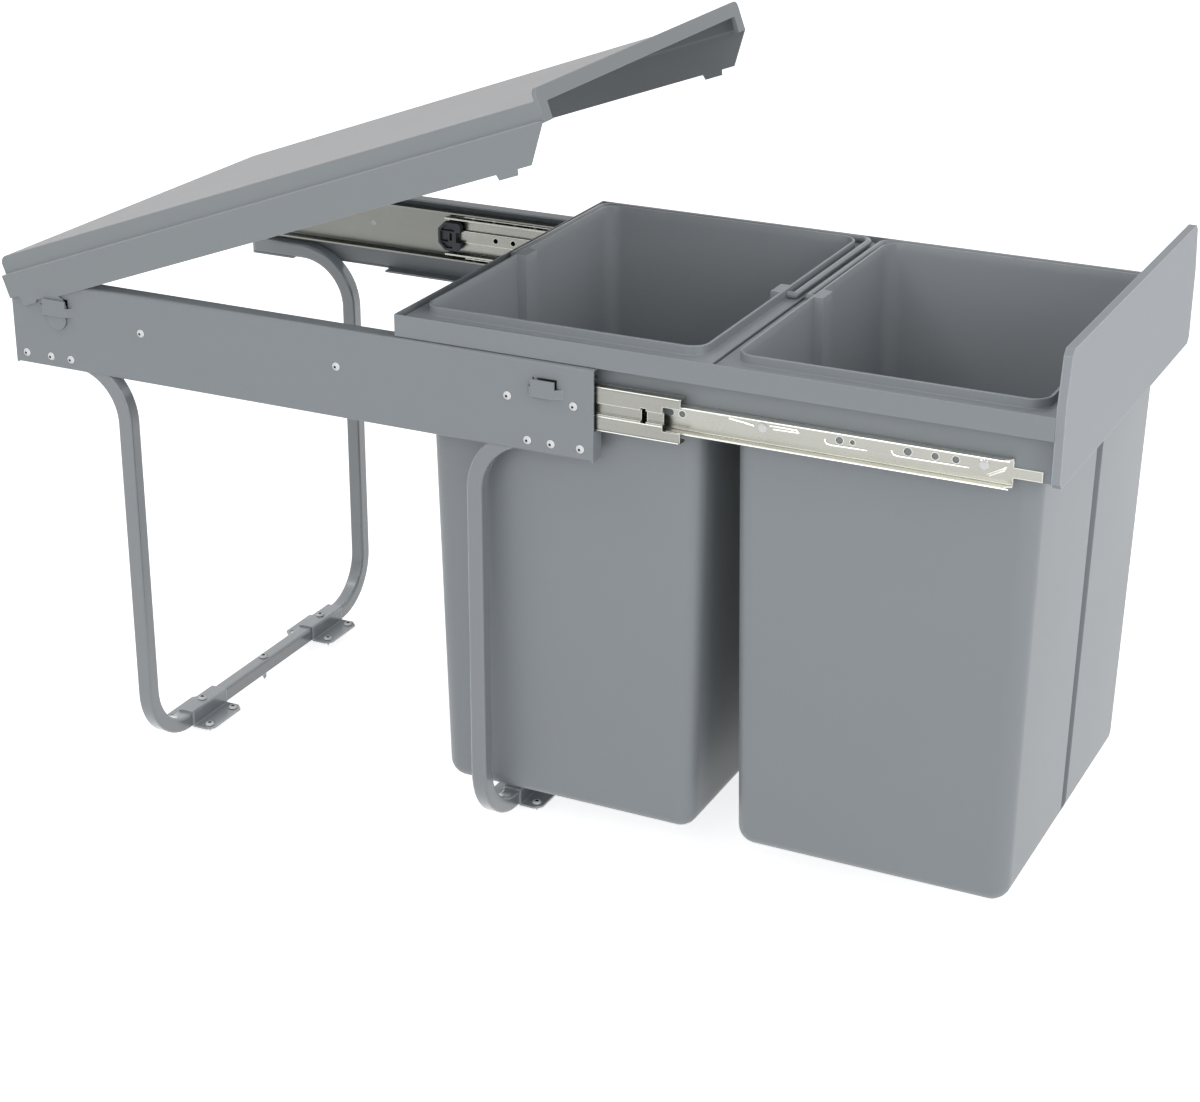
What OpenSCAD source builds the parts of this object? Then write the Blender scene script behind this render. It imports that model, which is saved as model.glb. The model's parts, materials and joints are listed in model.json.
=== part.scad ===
// Under-counter pull-out waste bin frame with two bins and a tipping lid.
// X is the pull-out direction and Z is up. The origin lies on the cabinet
// floor, at the centre of the free screw holes in the feet's rear flanges.
// All sizes are millimetres. The drawer is drawn pulled out.

/* [Fixed frame] */
// Length of the two side panels
frame_len = 480; // [465:1:520]
// Width over the two side panels
frame_w = 335; // [320:1:380]
// Height of the panels' underside above the cabinet floor
panel_z = 309.5; // [306:0.5:340]
// Height of a side panel
panel_h = 66.4; // [66.4:0.2:72]

/* [Legs and feet] */
// Distance of a leg's centre from the panel end
leg_inset = 93; // [90:1:110]
// Centre-line radius of the tube bends
bend_r = 44; // [38:1:46]
// Length of a foot bracket across the frame
foot_len = 47; // [44:1:60]

/* [Drawer] */
// How far the drawer pulls out
travel = 307; // [290:1:312]
// Thickness of the front plate
plate_t = 6; // [4:0.5:10]
// Height of the front plate
plate_h = 90; // [80:0.5:100]
// Height of the rails' upper band
band_h = 15.7; // [12:0.1:16.2]

/* [Bins] */
// Height of a bin
bin_h = 370; // [340:1:372]
// Diameter of the handle rod
rod_d = 5; // [4.4:0.1:5]

/* [Lid] */
// Angle at which the lid is drawn
lid_angle = 20.1; // [0:0.1:28]

/* [Hidden] */
$fn = 48;
eps = 0.01;
half_w = frame_w / 2;

// sheet, tube and hole sizes
panel_t = 1.5;
rail_t = 1.2;
slide_t = 1.2;
tube_w = 12;
tube_wall = 1.2;
tube_r = 2;
shank_d = 4;

// fixed frame
free_hole_x = 18;
rear_end = free_hole_x - frame_len / 2;
front_end = free_hole_x + frame_len / 2;
rear_leg_x = rear_end + leg_inset;
front_leg_x = front_end - leg_inset;
flange_w = 12.4;
lower_flange_w = 12.7;
flange_gap = [40, leg_inset + 37];
tab_h = 21.5;
leg_rivets_at = [9.8, 31.95, 49.8];
leg_rivet_z = panel_z + 8.45;
tube_y = half_w - panel_t - tube_w / 2;
tube_z = panel_z + panel_t + tube_w / 2;

// straps pressed out of the panels, which hold the lid
strap_x = [rear_end + 40.5, front_end - 36.4];
strap_flat = [20, 17.5];
strap_ramp = 5;
strap_z0 = panel_z + 42;
strap_h = 12;
wing_h = 6.6;
strap_gap = 2.4;
pivot = [strap_x[0], 0, strap_z0 + strap_h / 2];

// feet
foot_y = half_w - 77.4;
foot_t = 1.5;
foot_half = 23.5;
foot_pair = 16.6;
foot_screw_x = 17.5;
bar_screw_d = 3.8;

// slides
slide_z = panel_z + 38.2;
slide_rivet_x = [front_end - 365.5, front_end - 200.3, front_end - 64.9, front_end - 14.9];
outer_h = 20.2;
middle_h = 15.75;
inner_h = 9.73;
slide_depth = 12.7;
outer_x = [rear_end + 2, front_end - 2];
middle_x = [front_end - 293, front_end + 62];
inner_x = [front_end - 122, front_end + 287];
ball_slack = 0.03;
pitch = 18.8;
outer_ball = [5.2, 17.365, 3.97];
inner_ball = [8.4, 12.14, 5.56];
outer_cage_x = front_end - 275;
outer_balls_n = 11;
inner_cage_x = front_end - 116;
inner_balls_n = 8;
inner_rivet_x = [front_end - 97, front_end + 12, front_end + 116.7, front_end + 267.7];
inner_hole_h = 2.4;
inner_holes = [[59.4, 4.6], [170.4, 5], [179.3, 3.4], [216.9, 5.4], [235.2, 4.8], [249, 4.8]];
inner_slot = [43, 51];

// drawer frame
drawer_x = [front_end - 153.5 + travel - 307, front_end + 7 + travel];
shelf_z = panel_z + panel_h + 0.5;
band_y = half_w - 2.3;
web_y = half_w - 15.4;
cross_shelf_w = 9.4;
web_z = panel_z + 34;
end_web_z = panel_z + 38;
plate_w = frame_w - 6;
plate_z = panel_z + 35;
plate_bolt_y = [-120, -40, 40, 120] * plate_w / 329;
plate_bolt_z = panel_z + 50;

// bins
bin_pitch = 233.2;
bin_x = [drawer_x[0] + 118.2, drawer_x[0] + 118.2 + bin_pitch];
bin_rim = [bin_pitch - 2.2, frame_w - 8];
bin_mouth = bin_rim - [23.5, 36];
bin_foot = bin_mouth - [6.7, 12.2];
bin_wall = 1.9;
bin_r = 14;
lip_w = 2;
rim_z = shelf_z + rail_t + 17.9;
gutter_z = rim_z - 6.5;
bin_z = rim_z - bin_h;
groove_w = 12;
groove_d = 6;
groove_z0 = 44;
groove_z1 = gutter_z - bin_z - 6;
rod_z = gutter_z + rod_d / 2 + 0.1;
rod_off = 7.9;
rod_hole_len = 16;

// lid, drawn level in its own axes with the low rear corner on the origin
lid_t = 1.3;
lid_len = 479.3;
lid_w = frame_w + 3.6;
lid_pivot = [37.9, -15.15];
skirt_low = -8;
ledge_v = 17.7;
lid_top = 31;
lid_inset = 2.4;
lid_r = 6;
lip_t = 3;
lip_v = [16, 38.7];
lip_opening = [lid_w - 28.6, 28.4];
tongue_r = 9.6;
lobe_r = 8;
lobe = [-2.6, -8.6];

coat = [0.55, 0.57, 0.58];
plate_coat = [0.66, 0.68, 0.70];
bin_grey = [0.50, 0.52, 0.54];
lid_grey = [0.62, 0.63, 0.64];
zinc = [0.67, 0.67, 0.64];
bright = [0.82, 0.83, 0.83];
black = [0.10, 0.10, 0.12];

// Helpers

// The right-hand side (-Y) is drawn; this gives its mirror image on the left.
module left() { mirror([0, 1, 0]) children(); }
module both_sides() { children(); left() children(); }

// Extrude a shape drawn in (Y, Z) along X, or one drawn in (X, Z) along +Y.
module along_x(x) {
  translate([x[0], 0, 0]) rotate([90, 0, 90]) linear_extrude(x[1] - x[0]) children();
}
module along_y(y) {
  translate([0, y[1], 0]) rotate([90, 0, 0]) linear_extrude(y[1] - y[0]) children();
}

// A bar between two corners.
module block(a, b) { translate(a) cube(b - a); }

// A rod along +Y that starts at a point.
module peg(p, d, len) { translate(p) rotate([-90, 0, 0]) cylinder(d = d, h = len); }

// A square and a rectangle with round corners, both centred.
module soft_rect(size, r) {
  square([size[0] - 2 * r, size[1]], center = true);
  square([size[0], size[1] - 2 * r], center = true);
  for (i = [-1, 1], j = [-1, 1])
    translate([i * (size[0] / 2 - r), j * (size[1] / 2 - r)]) circle(r);
}

// A quarter ring for a folded corner, open towards +X and +Y of its centre.
module fold2d(r, t) {
  intersection() {
    difference() { circle(r); circle(r - t); }
    square(2 * r);
  }
}

// Side panels: a web, folded flanges, an end tab at each end and two straps

module panel_section() {
  r = 2.4;
  y = -half_w;
  top = panel_z + panel_h;
  translate([y, panel_z + r]) square([panel_t, panel_h - 2 * r]);
  translate([y + r, top - panel_t]) square([flange_w - r, panel_t]);
  translate([y + r, top - r]) rotate(90) fold2d(r, panel_t);
  translate([y + r, panel_z + r]) rotate(180) fold2d(r, panel_t);
  translate([y + r, panel_z]) square([lower_flange_w - r, panel_t]);
}

// A window in the lower flange where the leg bends down; it leaves a full web.
module flange_window(x0, x1) {
  c = 4;
  y0 = -half_w + panel_t;
  y1 = -half_w + lower_flange_w + 1;
  translate([0, 0, panel_z - 1]) linear_extrude(panel_t + 1 + eps)
    polygon([[x0 + c, y0], [x1 - c, y0], [x1, y0 + c], [x1, y1], [x0, y1], [x0, y0 + c]]);
}

// A strap stands off the web; only its lower part has wings down to the web.
module strap(i) {
  w = strap_flat[i] / 2;
  e = w + strap_ramp;
  o = strap_gap + panel_t;
  translate([strap_x[i], -half_w, strap_z0]) {
    linear_extrude(wing_h) polygon([
      [-e, panel_t], [-e, 0], [-w - 0.6, -o], [w + 0.6, -o], [e, 0], [e, panel_t],
      [e - 1, panel_t], [w, -strap_gap], [-w, -strap_gap], [-e + 1, panel_t]]);
    block([-w, -o, 0], [w, -strap_gap, strap_h]);
  }
}

module right_panel() color(coat) {
  difference() {
    along_x([rear_end, front_end]) panel_section();
    flange_window(rear_end + flange_gap[0], rear_end + flange_gap[1]);
    flange_window(front_end - flange_gap[1], front_end - flange_gap[0]);
    for (i = [0, 1]) {
      w = strap_flat[i] / 2 + 0.5;
      e = strap_flat[i] / 2 + strap_ramp - 0.5;
      block([strap_x[i] - e, -half_w - 1, strap_z0],
        [strap_x[i] + e, -half_w + panel_t + 1, strap_z0 + wing_h]);
      block([strap_x[i] - w, -half_w - 1, strap_z0 + wing_h - eps],
        [strap_x[i] + w, -half_w + panel_t + 1, strap_z0 + strap_h + 0.8]);
    }
    for (d = leg_rivets_at, x = [rear_end + d, front_end - d])
      peg([x, -half_w - 1, leg_rivet_z], shank_d, panel_t + 2);
    for (x = slide_rivet_x) peg([x, -half_w - 1, slide_z], shank_d, panel_t + 2);
  }
  for (i = [0, 1]) strap(i);
  for (x = [rear_end, front_end - panel_t])
    block([x, -half_w + eps, panel_z + eps],
      [x + panel_t, -half_w + lower_flange_w, panel_z + tab_h]);
}

// Leg frames: one square tube, bent six times, riveted into both panels

module tube_section(w, r) { soft_rect([w, w], r); }

module tube_bend(w, r) {
  rotate_extrude(angle = 90) translate([bend_r, 0]) tube_section(w, r);
}

// Drawn for the front leg, with its top run towards +X and ending at x_end.
module tube_path(w, r, x_end) {
  run = x_end - front_leg_x - bend_r;
  low = tube_w / 2 + bend_r;
  both_sides() translate([front_leg_x, -tube_y, 0]) {
    translate([bend_r, 0, tube_z]) rotate([0, 90, 0]) linear_extrude(run) tube_section(w, r);
    translate([bend_r, 0, tube_z - bend_r]) rotate([90, 0, 0]) rotate(90) tube_bend(w, r);
    translate([0, 0, low]) linear_extrude(tube_z - bend_r - low) tube_section(w, r);
    translate([0, bend_r, low]) rotate([90, 0, -90]) rotate(-90) tube_bend(w, r);
  }
  translate([front_leg_x, 0, tube_w / 2]) rotate([90, 0, 0])
    linear_extrude(2 * (tube_y - bend_r), center = true) tube_section(w, r);
}

module front_leg_frame() color(coat) difference() {
  x_end = front_end - panel_t - 0.05;
  tube_path(tube_w, tube_r, x_end);
  tube_path(tube_w - 2 * tube_wall, tube_r - tube_wall / 2, x_end + 1);
  both_sides() for (d = leg_rivets_at)
    peg([front_end - d, -half_w, leg_rivet_z], shank_d, 5);
  for (y = [-foot_y, 0, foot_y])
    translate([front_leg_x, y, -1]) cylinder(d = bar_screw_d, h = tube_w + 2);
}

module rear_leg_frame() translate([2 * free_hole_x, 0, 0]) mirror([1, 0, 0]) front_leg_frame();

// Feet: a saddle over the crossbar with a floor flange in front and behind

module foot_section() {
  in = tube_w / 2 + 0.02;
  out = in + foot_t;
  top = tube_w + 0.02 + foot_t;
  r = 1.5;
  difference() {
    union() {
      translate([-out, 0]) square([2 * out, top - r]);
      translate([-out + r, 0]) square([2 * (out - r), top]);
      for (s = [-1, 1]) translate([s * (out - r), top - r]) circle(r);
      translate([-foot_half, 0]) square([2 * foot_half, foot_t]);
    }
    translate([-in, -1]) square([2 * in, tube_w + 1.02]);
  }
}

module foot(x, y) color(coat) translate([x, y, 0]) difference() {
  c = 5;
  along_y([-foot_len / 2, foot_len / 2]) foot_section();
  for (i = [-1, 1], j = [-1, 1])
    translate([i * foot_half, j * foot_len / 2, -1]) rotate(45)
      cube([c * sqrt(2), c * sqrt(2), 8], center = true);
  for (j = [-1, 1]) {
    translate([-free_hole_x, j * foot_pair, -1]) cylinder(d = 4.5, h = foot_t + 2);
    translate([foot_screw_x, j * foot_pair, -1]) cylinder(d = 3.8, h = foot_t + 2);
  }
  translate([0, 0, tube_w - 1]) cylinder(d = bar_screw_d, h = foot_t + 3);
}

// A pan-head screw; the underside of the head is at z = 0.
module screw(d, len) {
  difference() {
    union() {
      cylinder(d = 7, h = 0.9);
      translate([0, 0, 0.9]) cylinder(d1 = 7, d2 = 4.6, h = 1.2);
    }
    for (a = [0, 90]) rotate(a) translate([-1.9, -0.4, 1.1]) cube([3.8, 0.8, 2]);
  }
  translate([0, 0, -len + 3]) cylinder(d = d, h = len - 3 + eps);
  translate([0, 0, -len]) cylinder(d1 = 0.8, d2 = d, h = 3);
}

module floor_screws() color(bright)
  for (x = [rear_leg_x, front_leg_x], y = [-foot_y, foot_y], j = [-1, 1])
    translate([x + foot_screw_x, y + j * foot_pair, foot_t]) screw(3.8, foot_t + 4.8);

module foot_screws() color(bright)
  for (x = [rear_leg_x, front_leg_x], y = [-foot_y, 0, foot_y])
    translate([x, y, tube_w + (y == 0 ? 0 : foot_t + 0.02)])
      screw(bar_screw_d, y == 0 ? tube_w + 8.8 : foot_t + 8);

// Blind rivets: a domed head outside and a collar inside

module rivet(x, z, grip) translate([x, -half_w, z]) rotate([-90, 0, 0]) {
  difference() {
    translate([0, 0, 1.9]) intersection() {
      sphere(r = 3.75);
      translate([0, 0, -4]) cylinder(d = 6.6, h = 2.1);
    }
    translate([0, 0, -2.5]) cylinder(d = 1.8, h = 1.6);
  }
  cylinder(d = shank_d, h = grip);
}

module leg_rivets() color(bright) both_sides()
  for (d = leg_rivets_at, x = [rear_end + d, front_end - d])
    rivet(x, leg_rivet_z, panel_t + tube_wall + 1);

module slide_rivets() color(bright) both_sides()
  for (x = slide_rivet_x) rivet(x, slide_z, panel_t + slide_t);

// Telescopic ball slides. Sections are drawn with the depth from the panel
// along X and the height from the slide's centre along Y, upper half only.

module mirror_y() { children(); mirror([0, 1]) children(); }

// Extrude a section in (depth, height) along X.
module slide_bar(x) {
  translate([0, -half_w + panel_t, slide_z]) along_x(x) mirror_y() children();
}
module slide_frame() { translate([0, -half_w + panel_t, slide_z]) children(); }

module ball_track(b) { translate([b[0], b[1]]) circle(b[2] / 2 + ball_slack); }

module right_outer_slide() color(zinc) difference() {
  r = 2.2;
  slide_bar(outer_x) difference() {
    union() {
      square([slide_t, outer_h - r]);
      translate([r, outer_h - r]) rotate(90) fold2d(r, slide_t);
      translate([r, outer_h - slide_t]) square([10 - r, slide_t]);
    }
    ball_track(outer_ball);
  }
  slide_frame() {
    for (x = slide_rivet_x) peg([x, -1, 0], shank_d, slide_t + 2);
    for (x = [outer_x[0] + 30, outer_x[0] + 200, outer_x[0] + 330])
      peg([x, -1, 0], 5.5, slide_t + 2);
  }
}

module right_middle_slide() color(zinc) difference() {
  p = 2.2;
  r = 2;
  c = 5;
  slide_bar(middle_x) difference() {
    union() {
      translate([p, c]) square([slide_t, middle_h - c - r]);
      translate([p + r, middle_h - r]) rotate(90) fold2d(r, slide_t);
      translate([p + r, middle_h - slide_t]) square([8 - r, slide_t]);
      translate([p, c - slide_t]) square([3.4, slide_t]);
      translate([p + 2.2, 0]) square([slide_t, c]);
    }
    ball_track(outer_ball);
    ball_track(inner_ball);
  }
  slide_frame() {
    x = middle_x[1];
    block([x - 13, p - 1, -8.5], [x + 1, p + 5, 8.5]);
    block([x - 29, p - 1, -5.5], [x - 25, p + 5, 5.5]);
    for (d = [45, 61]) peg([middle_x[0] + d, p - 1, 0], 4.4, 6);
  }
}

// Plastic stop clipped into the rear end of the middle member
module right_stop() color(black) slide_frame() difference() {
  x = middle_x[0] - 6;
  h = 12;
  c = 6;
  len = 21;
  p = 5.62;
  rim = 2.4;
  along_y([p, p + 5]) polygon([
    [x + c, -h], [x + len - 4, -h], [x + len, -h + 4], [x + len, h - 2], [x + len - 2, h],
    [x + c, h], [x, h - c], [x, -h + c]]);
  block([x + len - 4, p - 1, -4], [x + len + 1, p + 6, 4]);
  block([x + 11, p - 1, -3], [x + 12.8, p + 6, 3]);
  along_y([p + 3, p + 6]) polygon([
    [x + c + 1, -h + rim], [x + len - 8, -h + rim], [x + len - 8, -5], [x + rim, -5],
    [x + rim, -h + c + 1]]);
  along_y([p + 3, p + 6]) polygon([
    [x + c + 1, h - rim], [x + len - 6, h - rim], [x + len - 6, 5], [x + rim, 5],
    [x + rim, h - c - 1]]);
  block([x + rim, p + 3, -4], [x + 9.5, p + 6, 4]);
}

// Ball cages: folded strips with a hole for each ball

function cage_len(n) = (n - 1) * pitch + 14;

module ball_holes(x, n, b) {
  for (i = [0 : n - 1]) translate([x + 7 + i * pitch, b[0], 0])
    cylinder(d = b[2] + 0.06, h = 50, center = true);
}

module right_outer_cage() color(zinc) slide_frame() difference() {
  q = outer_ball[1] - 0.3;
  x = outer_cage_x;
  len = cage_len(outer_balls_n);
  union() {
    block([x, 1.45, -q - 0.6], [x + len, 1.95, q + 0.6]);
    for (s = [0, 1]) mirror([0, 0, s]) block([x, 1.45, q], [x + len, 8.2, q + 0.6]);
  }
  block([x + 10, 0, -q + 2.5], [x + len - 10, 3, q - 2.5]);
  ball_holes(x, outer_balls_n, outer_ball);
}

module right_inner_cage() color(zinc) slide_frame() difference() {
  q = inner_ball[1] - 0.3;
  x = inner_cage_x;
  len = cage_len(inner_balls_n);
  union() {
    for (s = [0, 1]) mirror([0, 0, s]) {
      block([x, 3.7, q], [x + len, 10.8, q + 0.6]);
      block([x, 3.7, 5.5], [x + len, 4.3, q + 0.1]);
      block([x, 3.7, 5.5], [x + len, 6.6, 6.1]);
    }
    block([x, 6, -5.6], [x + len, 6.6, 5.6]);
  }
  block([x + 12, 3, -7.5], [x + len - 12, 8, 7.5]);
  ball_holes(x, inner_balls_n, inner_ball);
}

module balls(x, n, b) color(bright) slide_frame()
  for (i = [0 : n - 1], s = [-1, 1])
    translate([x + 7 + i * pitch, b[0], s * b[1]]) sphere(d = b[2], $fn = 24);

module right_outer_balls() balls(outer_cage_x, outer_balls_n, outer_ball);
module right_inner_balls() balls(inner_cage_x, inner_balls_n, inner_ball);

module right_inner_slide() color(zinc) {
  d = slide_depth;
  difference() {
    r = 2;
    slide_bar(inner_x) difference() {
      union() {
        translate([d - slide_t, 0]) square([slide_t, inner_h - r]);
        translate([d - r, inner_h - r]) fold2d(r, slide_t);
        translate([5.2, inner_h - slide_t]) square([d - r - 5.2, slide_t]);
      }
      ball_track(inner_ball);
    }
    slide_frame() {
      for (x = inner_rivet_x) peg([x, d - 3, inner_hole_h], shank_d, 5);
      for (b = inner_holes) peg([front_end + b[0], d - 3, inner_hole_h], b[1], 5);
      for (x = inner_slot) peg([front_end + x, d - 3, inner_hole_h], 4.6, 5);
      block([front_end + inner_slot[0], d - 3, inner_hole_h - 2.3],
        [front_end + inner_slot[1], d + 2, inner_hole_h + 2.3]);
      translate([inner_x[1], 5.2, 0]) rotate(45) cube([8, 8, 40], center = true);
    }
  }
  slide_frame() block([inner_x[1] - eps, d - slide_t, -3.5], [inner_x[1] + 19, d, 3.5]);
}

module inner_slide_rivets() color(zinc) both_sides() slide_frame()
  for (x = inner_rivet_x) translate([x, slide_depth, inner_hole_h]) {
    peg([0, -slide_t - 0.8, 0], 6.8, 0.8);
    peg([0, -slide_t - eps, 0], shank_d, slide_t + rail_t + 2 * eps);
    peg([0, rail_t, 0], 5.6, 1);
  }

// Drawer frame: folded rails with an upper band, a shelf and a web

module rail_section(w) {
  square([rail_t, band_h]);
  square([w, rail_t]);
  translate([w - rail_t, web_z - shelf_z]) square([rail_t, shelf_z - web_z + rail_t]);
}

module right_rail() color(coat) difference() {
  along_x(drawer_x) translate([-band_y, shelf_z]) rail_section(band_y - web_y);
  for (x = inner_rivet_x) peg([x, -web_y - 3, slide_z + inner_hole_h], shank_d, 5);
}

module rear_cross_rail() color(coat) difference() {
  y = band_y - rail_t - 0.02;
  translate([drawer_x[0], 0, shelf_z]) along_y([-y, y]) rail_section(cross_shelf_w);
  both_sides() block([drawer_x[0] - 1, -half_w, web_z - 1],
    [drawer_x[0] + 30, -web_y + 0.02, shelf_z + rail_t + 0.02]);
}

module front_cross_rail() color(coat) difference() {
  x = drawer_x[1];
  y = web_y - 0.02;
  union() {
    block([x - rail_t, -y, end_web_z], [x, y, shelf_z + rail_t]);
    block([x - cross_shelf_w, -y, shelf_z], [x, y, shelf_z + rail_t]);
    block([x - cross_shelf_w, -y, shelf_z - 7], [x - cross_shelf_w + rail_t, y, shelf_z + rail_t]);
  }
  for (by = plate_bolt_y) translate([x - 5, by, plate_bolt_z]) rotate([0, 90, 0])
    cylinder(d = shank_d, h = 7);
}

// Front plate: the upper third leans in at both ends and the corners are cut
module front_plate() color(plate_coat) difference() {
  w = plate_w / 2;
  k = 55;
  lean = 6;
  c = 4;
  along_x([drawer_x[1], drawer_x[1] + plate_t]) translate([0, plate_z]) polygon([
    [-w + c, 0], [w - c, 0], [w, c], [w, k], [w - lean, plate_h - c],
    [w - lean - c, plate_h], [-w + lean + c, plate_h], [-w + lean, plate_h - c],
    [-w, k], [-w, c]]);
  for (y = plate_bolt_y) translate([drawer_x[1] - 1, y, plate_bolt_z]) rotate([0, 90, 0])
    cylinder(d = shank_d, h = 4.2);
}

module plate_screws() color(bright)
  for (y = plate_bolt_y) translate([drawer_x[1] - rail_t, y, plate_bolt_z])
    rotate([0, 90, 0]) {
      translate([0, 0, -1.8]) cylinder(d = 7, h = 1.8);
      translate([0, 0, -eps]) cylinder(d = shank_d, h = 4);
    }

// Bins: a drafted shell, a wide turned-down rim and a groove in each end wall

module slab(size, r, z, t) translate([0, 0, z]) linear_extrude(t) soft_rect(size, r);

// The drafted body, from the rounded foot to the rim's gutter.
module bin_form(foot, mouth, r, floor_z) {
  hull() {
    for (i = [-1, 1], j = [-1, 1])
      translate([i * (foot[0] / 2 - r), j * (foot[1] / 2 - r), floor_z + r])
        sphere(r, $fn = 32);
    slab(mouth, r, gutter_z - bin_z - 1, 1, $fn = 32);
  }
}

bin_body = bin_mouth + [2 * bin_wall, 2 * bin_wall];
bin_draft = atan((bin_body[0] - bin_foot[0]) / 2 / (gutter_z - bin_z));

// A tapered bar that follows the drafted end wall; its face lies depth inside.
module groove_bar(s, w, depth, z0, z1) {
  mirror([s < 0 ? 1 : 0, 0, 0]) translate([bin_foot[0] / 2, 0, z0]) rotate([0, bin_draft, 0])
    linear_extrude(z1 - z0)
      polygon([[-depth, -w / 2 + 1], [-depth, w / 2 - 1], [0, w / 2], [20, w / 2], [20, -w / 2], [0, -w / 2]]);
}

// The rim: a raised lip round the mouth, a flat gutter and a turned-down edge.
module rim_ring() {
  g = gutter_z - bin_z;
  seat = shelf_z + rail_t - bin_z + 0.05;
  slab(bin_rim, 10, g - bin_wall, bin_wall);
  slab(bin_mouth + [2 * lip_w, 2 * lip_w], bin_r, g - eps, bin_h - g);
  difference() {
    slab(bin_rim, 10, seat, g - eps - seat);
    slab(bin_rim - [2 * bin_wall, 2 * bin_wall], 8, -1, bin_h);
  }
}

module bin() color(bin_grey) {
  t = bin_wall;
  difference() {
    union() {
      difference() {
        bin_form(bin_foot, bin_body, bin_r, 0);
        for (s = [-1, 1]) groove_bar(s, groove_w, groove_d, groove_z0, groove_z1);
      }
      rim_ring();
    }
    difference() {
      union() {
        bin_form(bin_foot - [2 * t, 2 * t], bin_mouth, bin_r - t, t);
        slab(bin_mouth, bin_r - t, gutter_z - bin_z - 2, 20);
      }
      for (s = [-1, 1]) groove_bar(s, groove_w + 2 * t, groove_d + t, groove_z0 - t, bin_h);
    }
    for (s = [-1, 1]) translate([s * (bin_mouth[0] / 2 - 4.2), 0, rod_z - bin_z])
      rotate([0, s * 90, 0]) cylinder(d = rod_d + 0.1, h = rod_hole_len);
  }
}

module rear_bin() translate([bin_x[0], 0, bin_z]) bin();
module front_bin() translate([bin_x[1], 0, bin_z]) bin();

// Handles: a bent rod lying in the rim's gutter on the left side
module bin_handle(x) color(bin_grey) {
  off = bin_mouth[0] / 2 + rod_off;
  reach = bin_rim[1] / 2 - 7;
  r = 9;
  translate([x, 0, rod_z]) {
    for (s = [0, 1]) mirror([s, 0, 0]) {
      translate([off, 0, 0]) rotate([-90, 0, 0]) cylinder(d = rod_d, h = reach - r);
      translate([off - r, reach - r, 0]) rotate_extrude(angle = 90) translate([r, 0])
        circle(d = rod_d);
      translate([off, 0, 0]) sphere(d = rod_d);
      translate([bin_mouth[0] / 2 - 4, 0, 0]) rotate([0, 90, 0])
        cylinder(d = rod_d, h = rod_off + 4);
    }
    translate([-off + r, reach, 0]) rotate([0, 90, 0]) cylinder(d = rod_d, h = 2 * (off - r));
  }
}

module rear_bin_handle() bin_handle(bin_x[0]);
module front_bin_handle() bin_handle(bin_x[1]);

// Lid: a skirt with a ledge all round, an upper body on it and a raised front

// The lid's outside (t = 0) or inside, up to the front plane.
module lid_form(t, front) {
  y = lid_w / 2 - t;
  r = lid_r - t;
  u = lid_inset + t;
  block([t, -y, -30], [front, y, ledge_v - t]);
  along_y([-y + lid_inset, y - lid_inset]) {
    translate([u, -30]) square([front - u, lid_top - t + 30 - r]);
    translate([u + r, -30]) square([front - u - r, lid_top - t + 30]);
    translate([u + r, lid_top - t - r]) circle(r);
  }
}

// Everything below the skirt's lower edge, in (u, v).
module below_skirt() {
  p = lid_pivot[0];
  polygon([[-5, -60], [-5, 0], [8.5, 0], [10.5, skirt_low], [p - 16, skirt_low],
    [p - 14.2, skirt_low + 1.9], [p - 9.5, skirt_low + 1.9], [p - 8, skirt_low],
    [433.5, skirt_low], [434.5, skirt_low - 4], [449, skirt_low - 4], [450, skirt_low],
    [461, skirt_low], [478.3, lip_v[0]], [500, lip_v[0]], [500, -60]]);
}

// The tongue behind the rear strap: a disc that turns there, and a lobe below.
module tongue() translate(lid_pivot) {
  circle(tongue_r);
  translate(lobe) circle(lobe_r);
}

// The plate round the open front end, higher than the lid's top.
module lid_front() {
  w = lid_w / 2 - lid_inset;
  r = 5;
  difference() {
    along_x([lid_len - lip_t, lid_len]) {
      translate([-w, lip_v[0]]) square([2 * w, lip_v[1] - lip_v[0] - r]);
      translate([-w + r, lip_v[0]]) square([2 * (w - r), lip_v[1] - lip_v[0]]);
      for (s = [-1, 1]) translate([s * (w - r), lip_v[1] - r]) circle(r);
    }
    block([lid_len - lip_t - 1, -lip_opening[0] / 2, lip_v[0] - 1],
      [lid_len + 1, lip_opening[0] / 2, lip_opening[1]]);
  }
}

module lid_level() {
  difference() {
    lid_form(0, lid_len - 1);
    lid_form(lid_t, lid_len);
    along_y([-lid_w, lid_w]) below_skirt();
    block([-1, -half_w + 3, -40], [3, half_w - 3, 12]);
    both_sides() block([-1, -half_w - 0.3, -40], [12, -half_w + 12, 12]);
  }
  both_sides() along_y([-lid_w / 2, -lid_w / 2 + lid_t]) tongue();
  lid_front();
}

module lid() color(lid_grey)
  translate(pivot) rotate([0, -lid_angle, 0]) translate([-lid_pivot[0], 0, -lid_pivot[1]])
    lid_level();

// Mirror images and places

module left_panel() left() right_panel();
module rear_left_foot() foot(rear_leg_x, foot_y);
module rear_right_foot() foot(rear_leg_x, -foot_y);
module front_left_foot() foot(front_leg_x, foot_y);
module front_right_foot() foot(front_leg_x, -foot_y);
module left_outer_slide() left() right_outer_slide();
module left_middle_slide() left() right_middle_slide();
module left_inner_slide() left() right_inner_slide();
module left_stop() left() right_stop();
module left_outer_cage() left() right_outer_cage();
module left_inner_cage() left() right_inner_cage();
module left_outer_balls() left() right_outer_balls();
module left_inner_balls() left() right_inner_balls();
module left_rail() left() right_rail();

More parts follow.
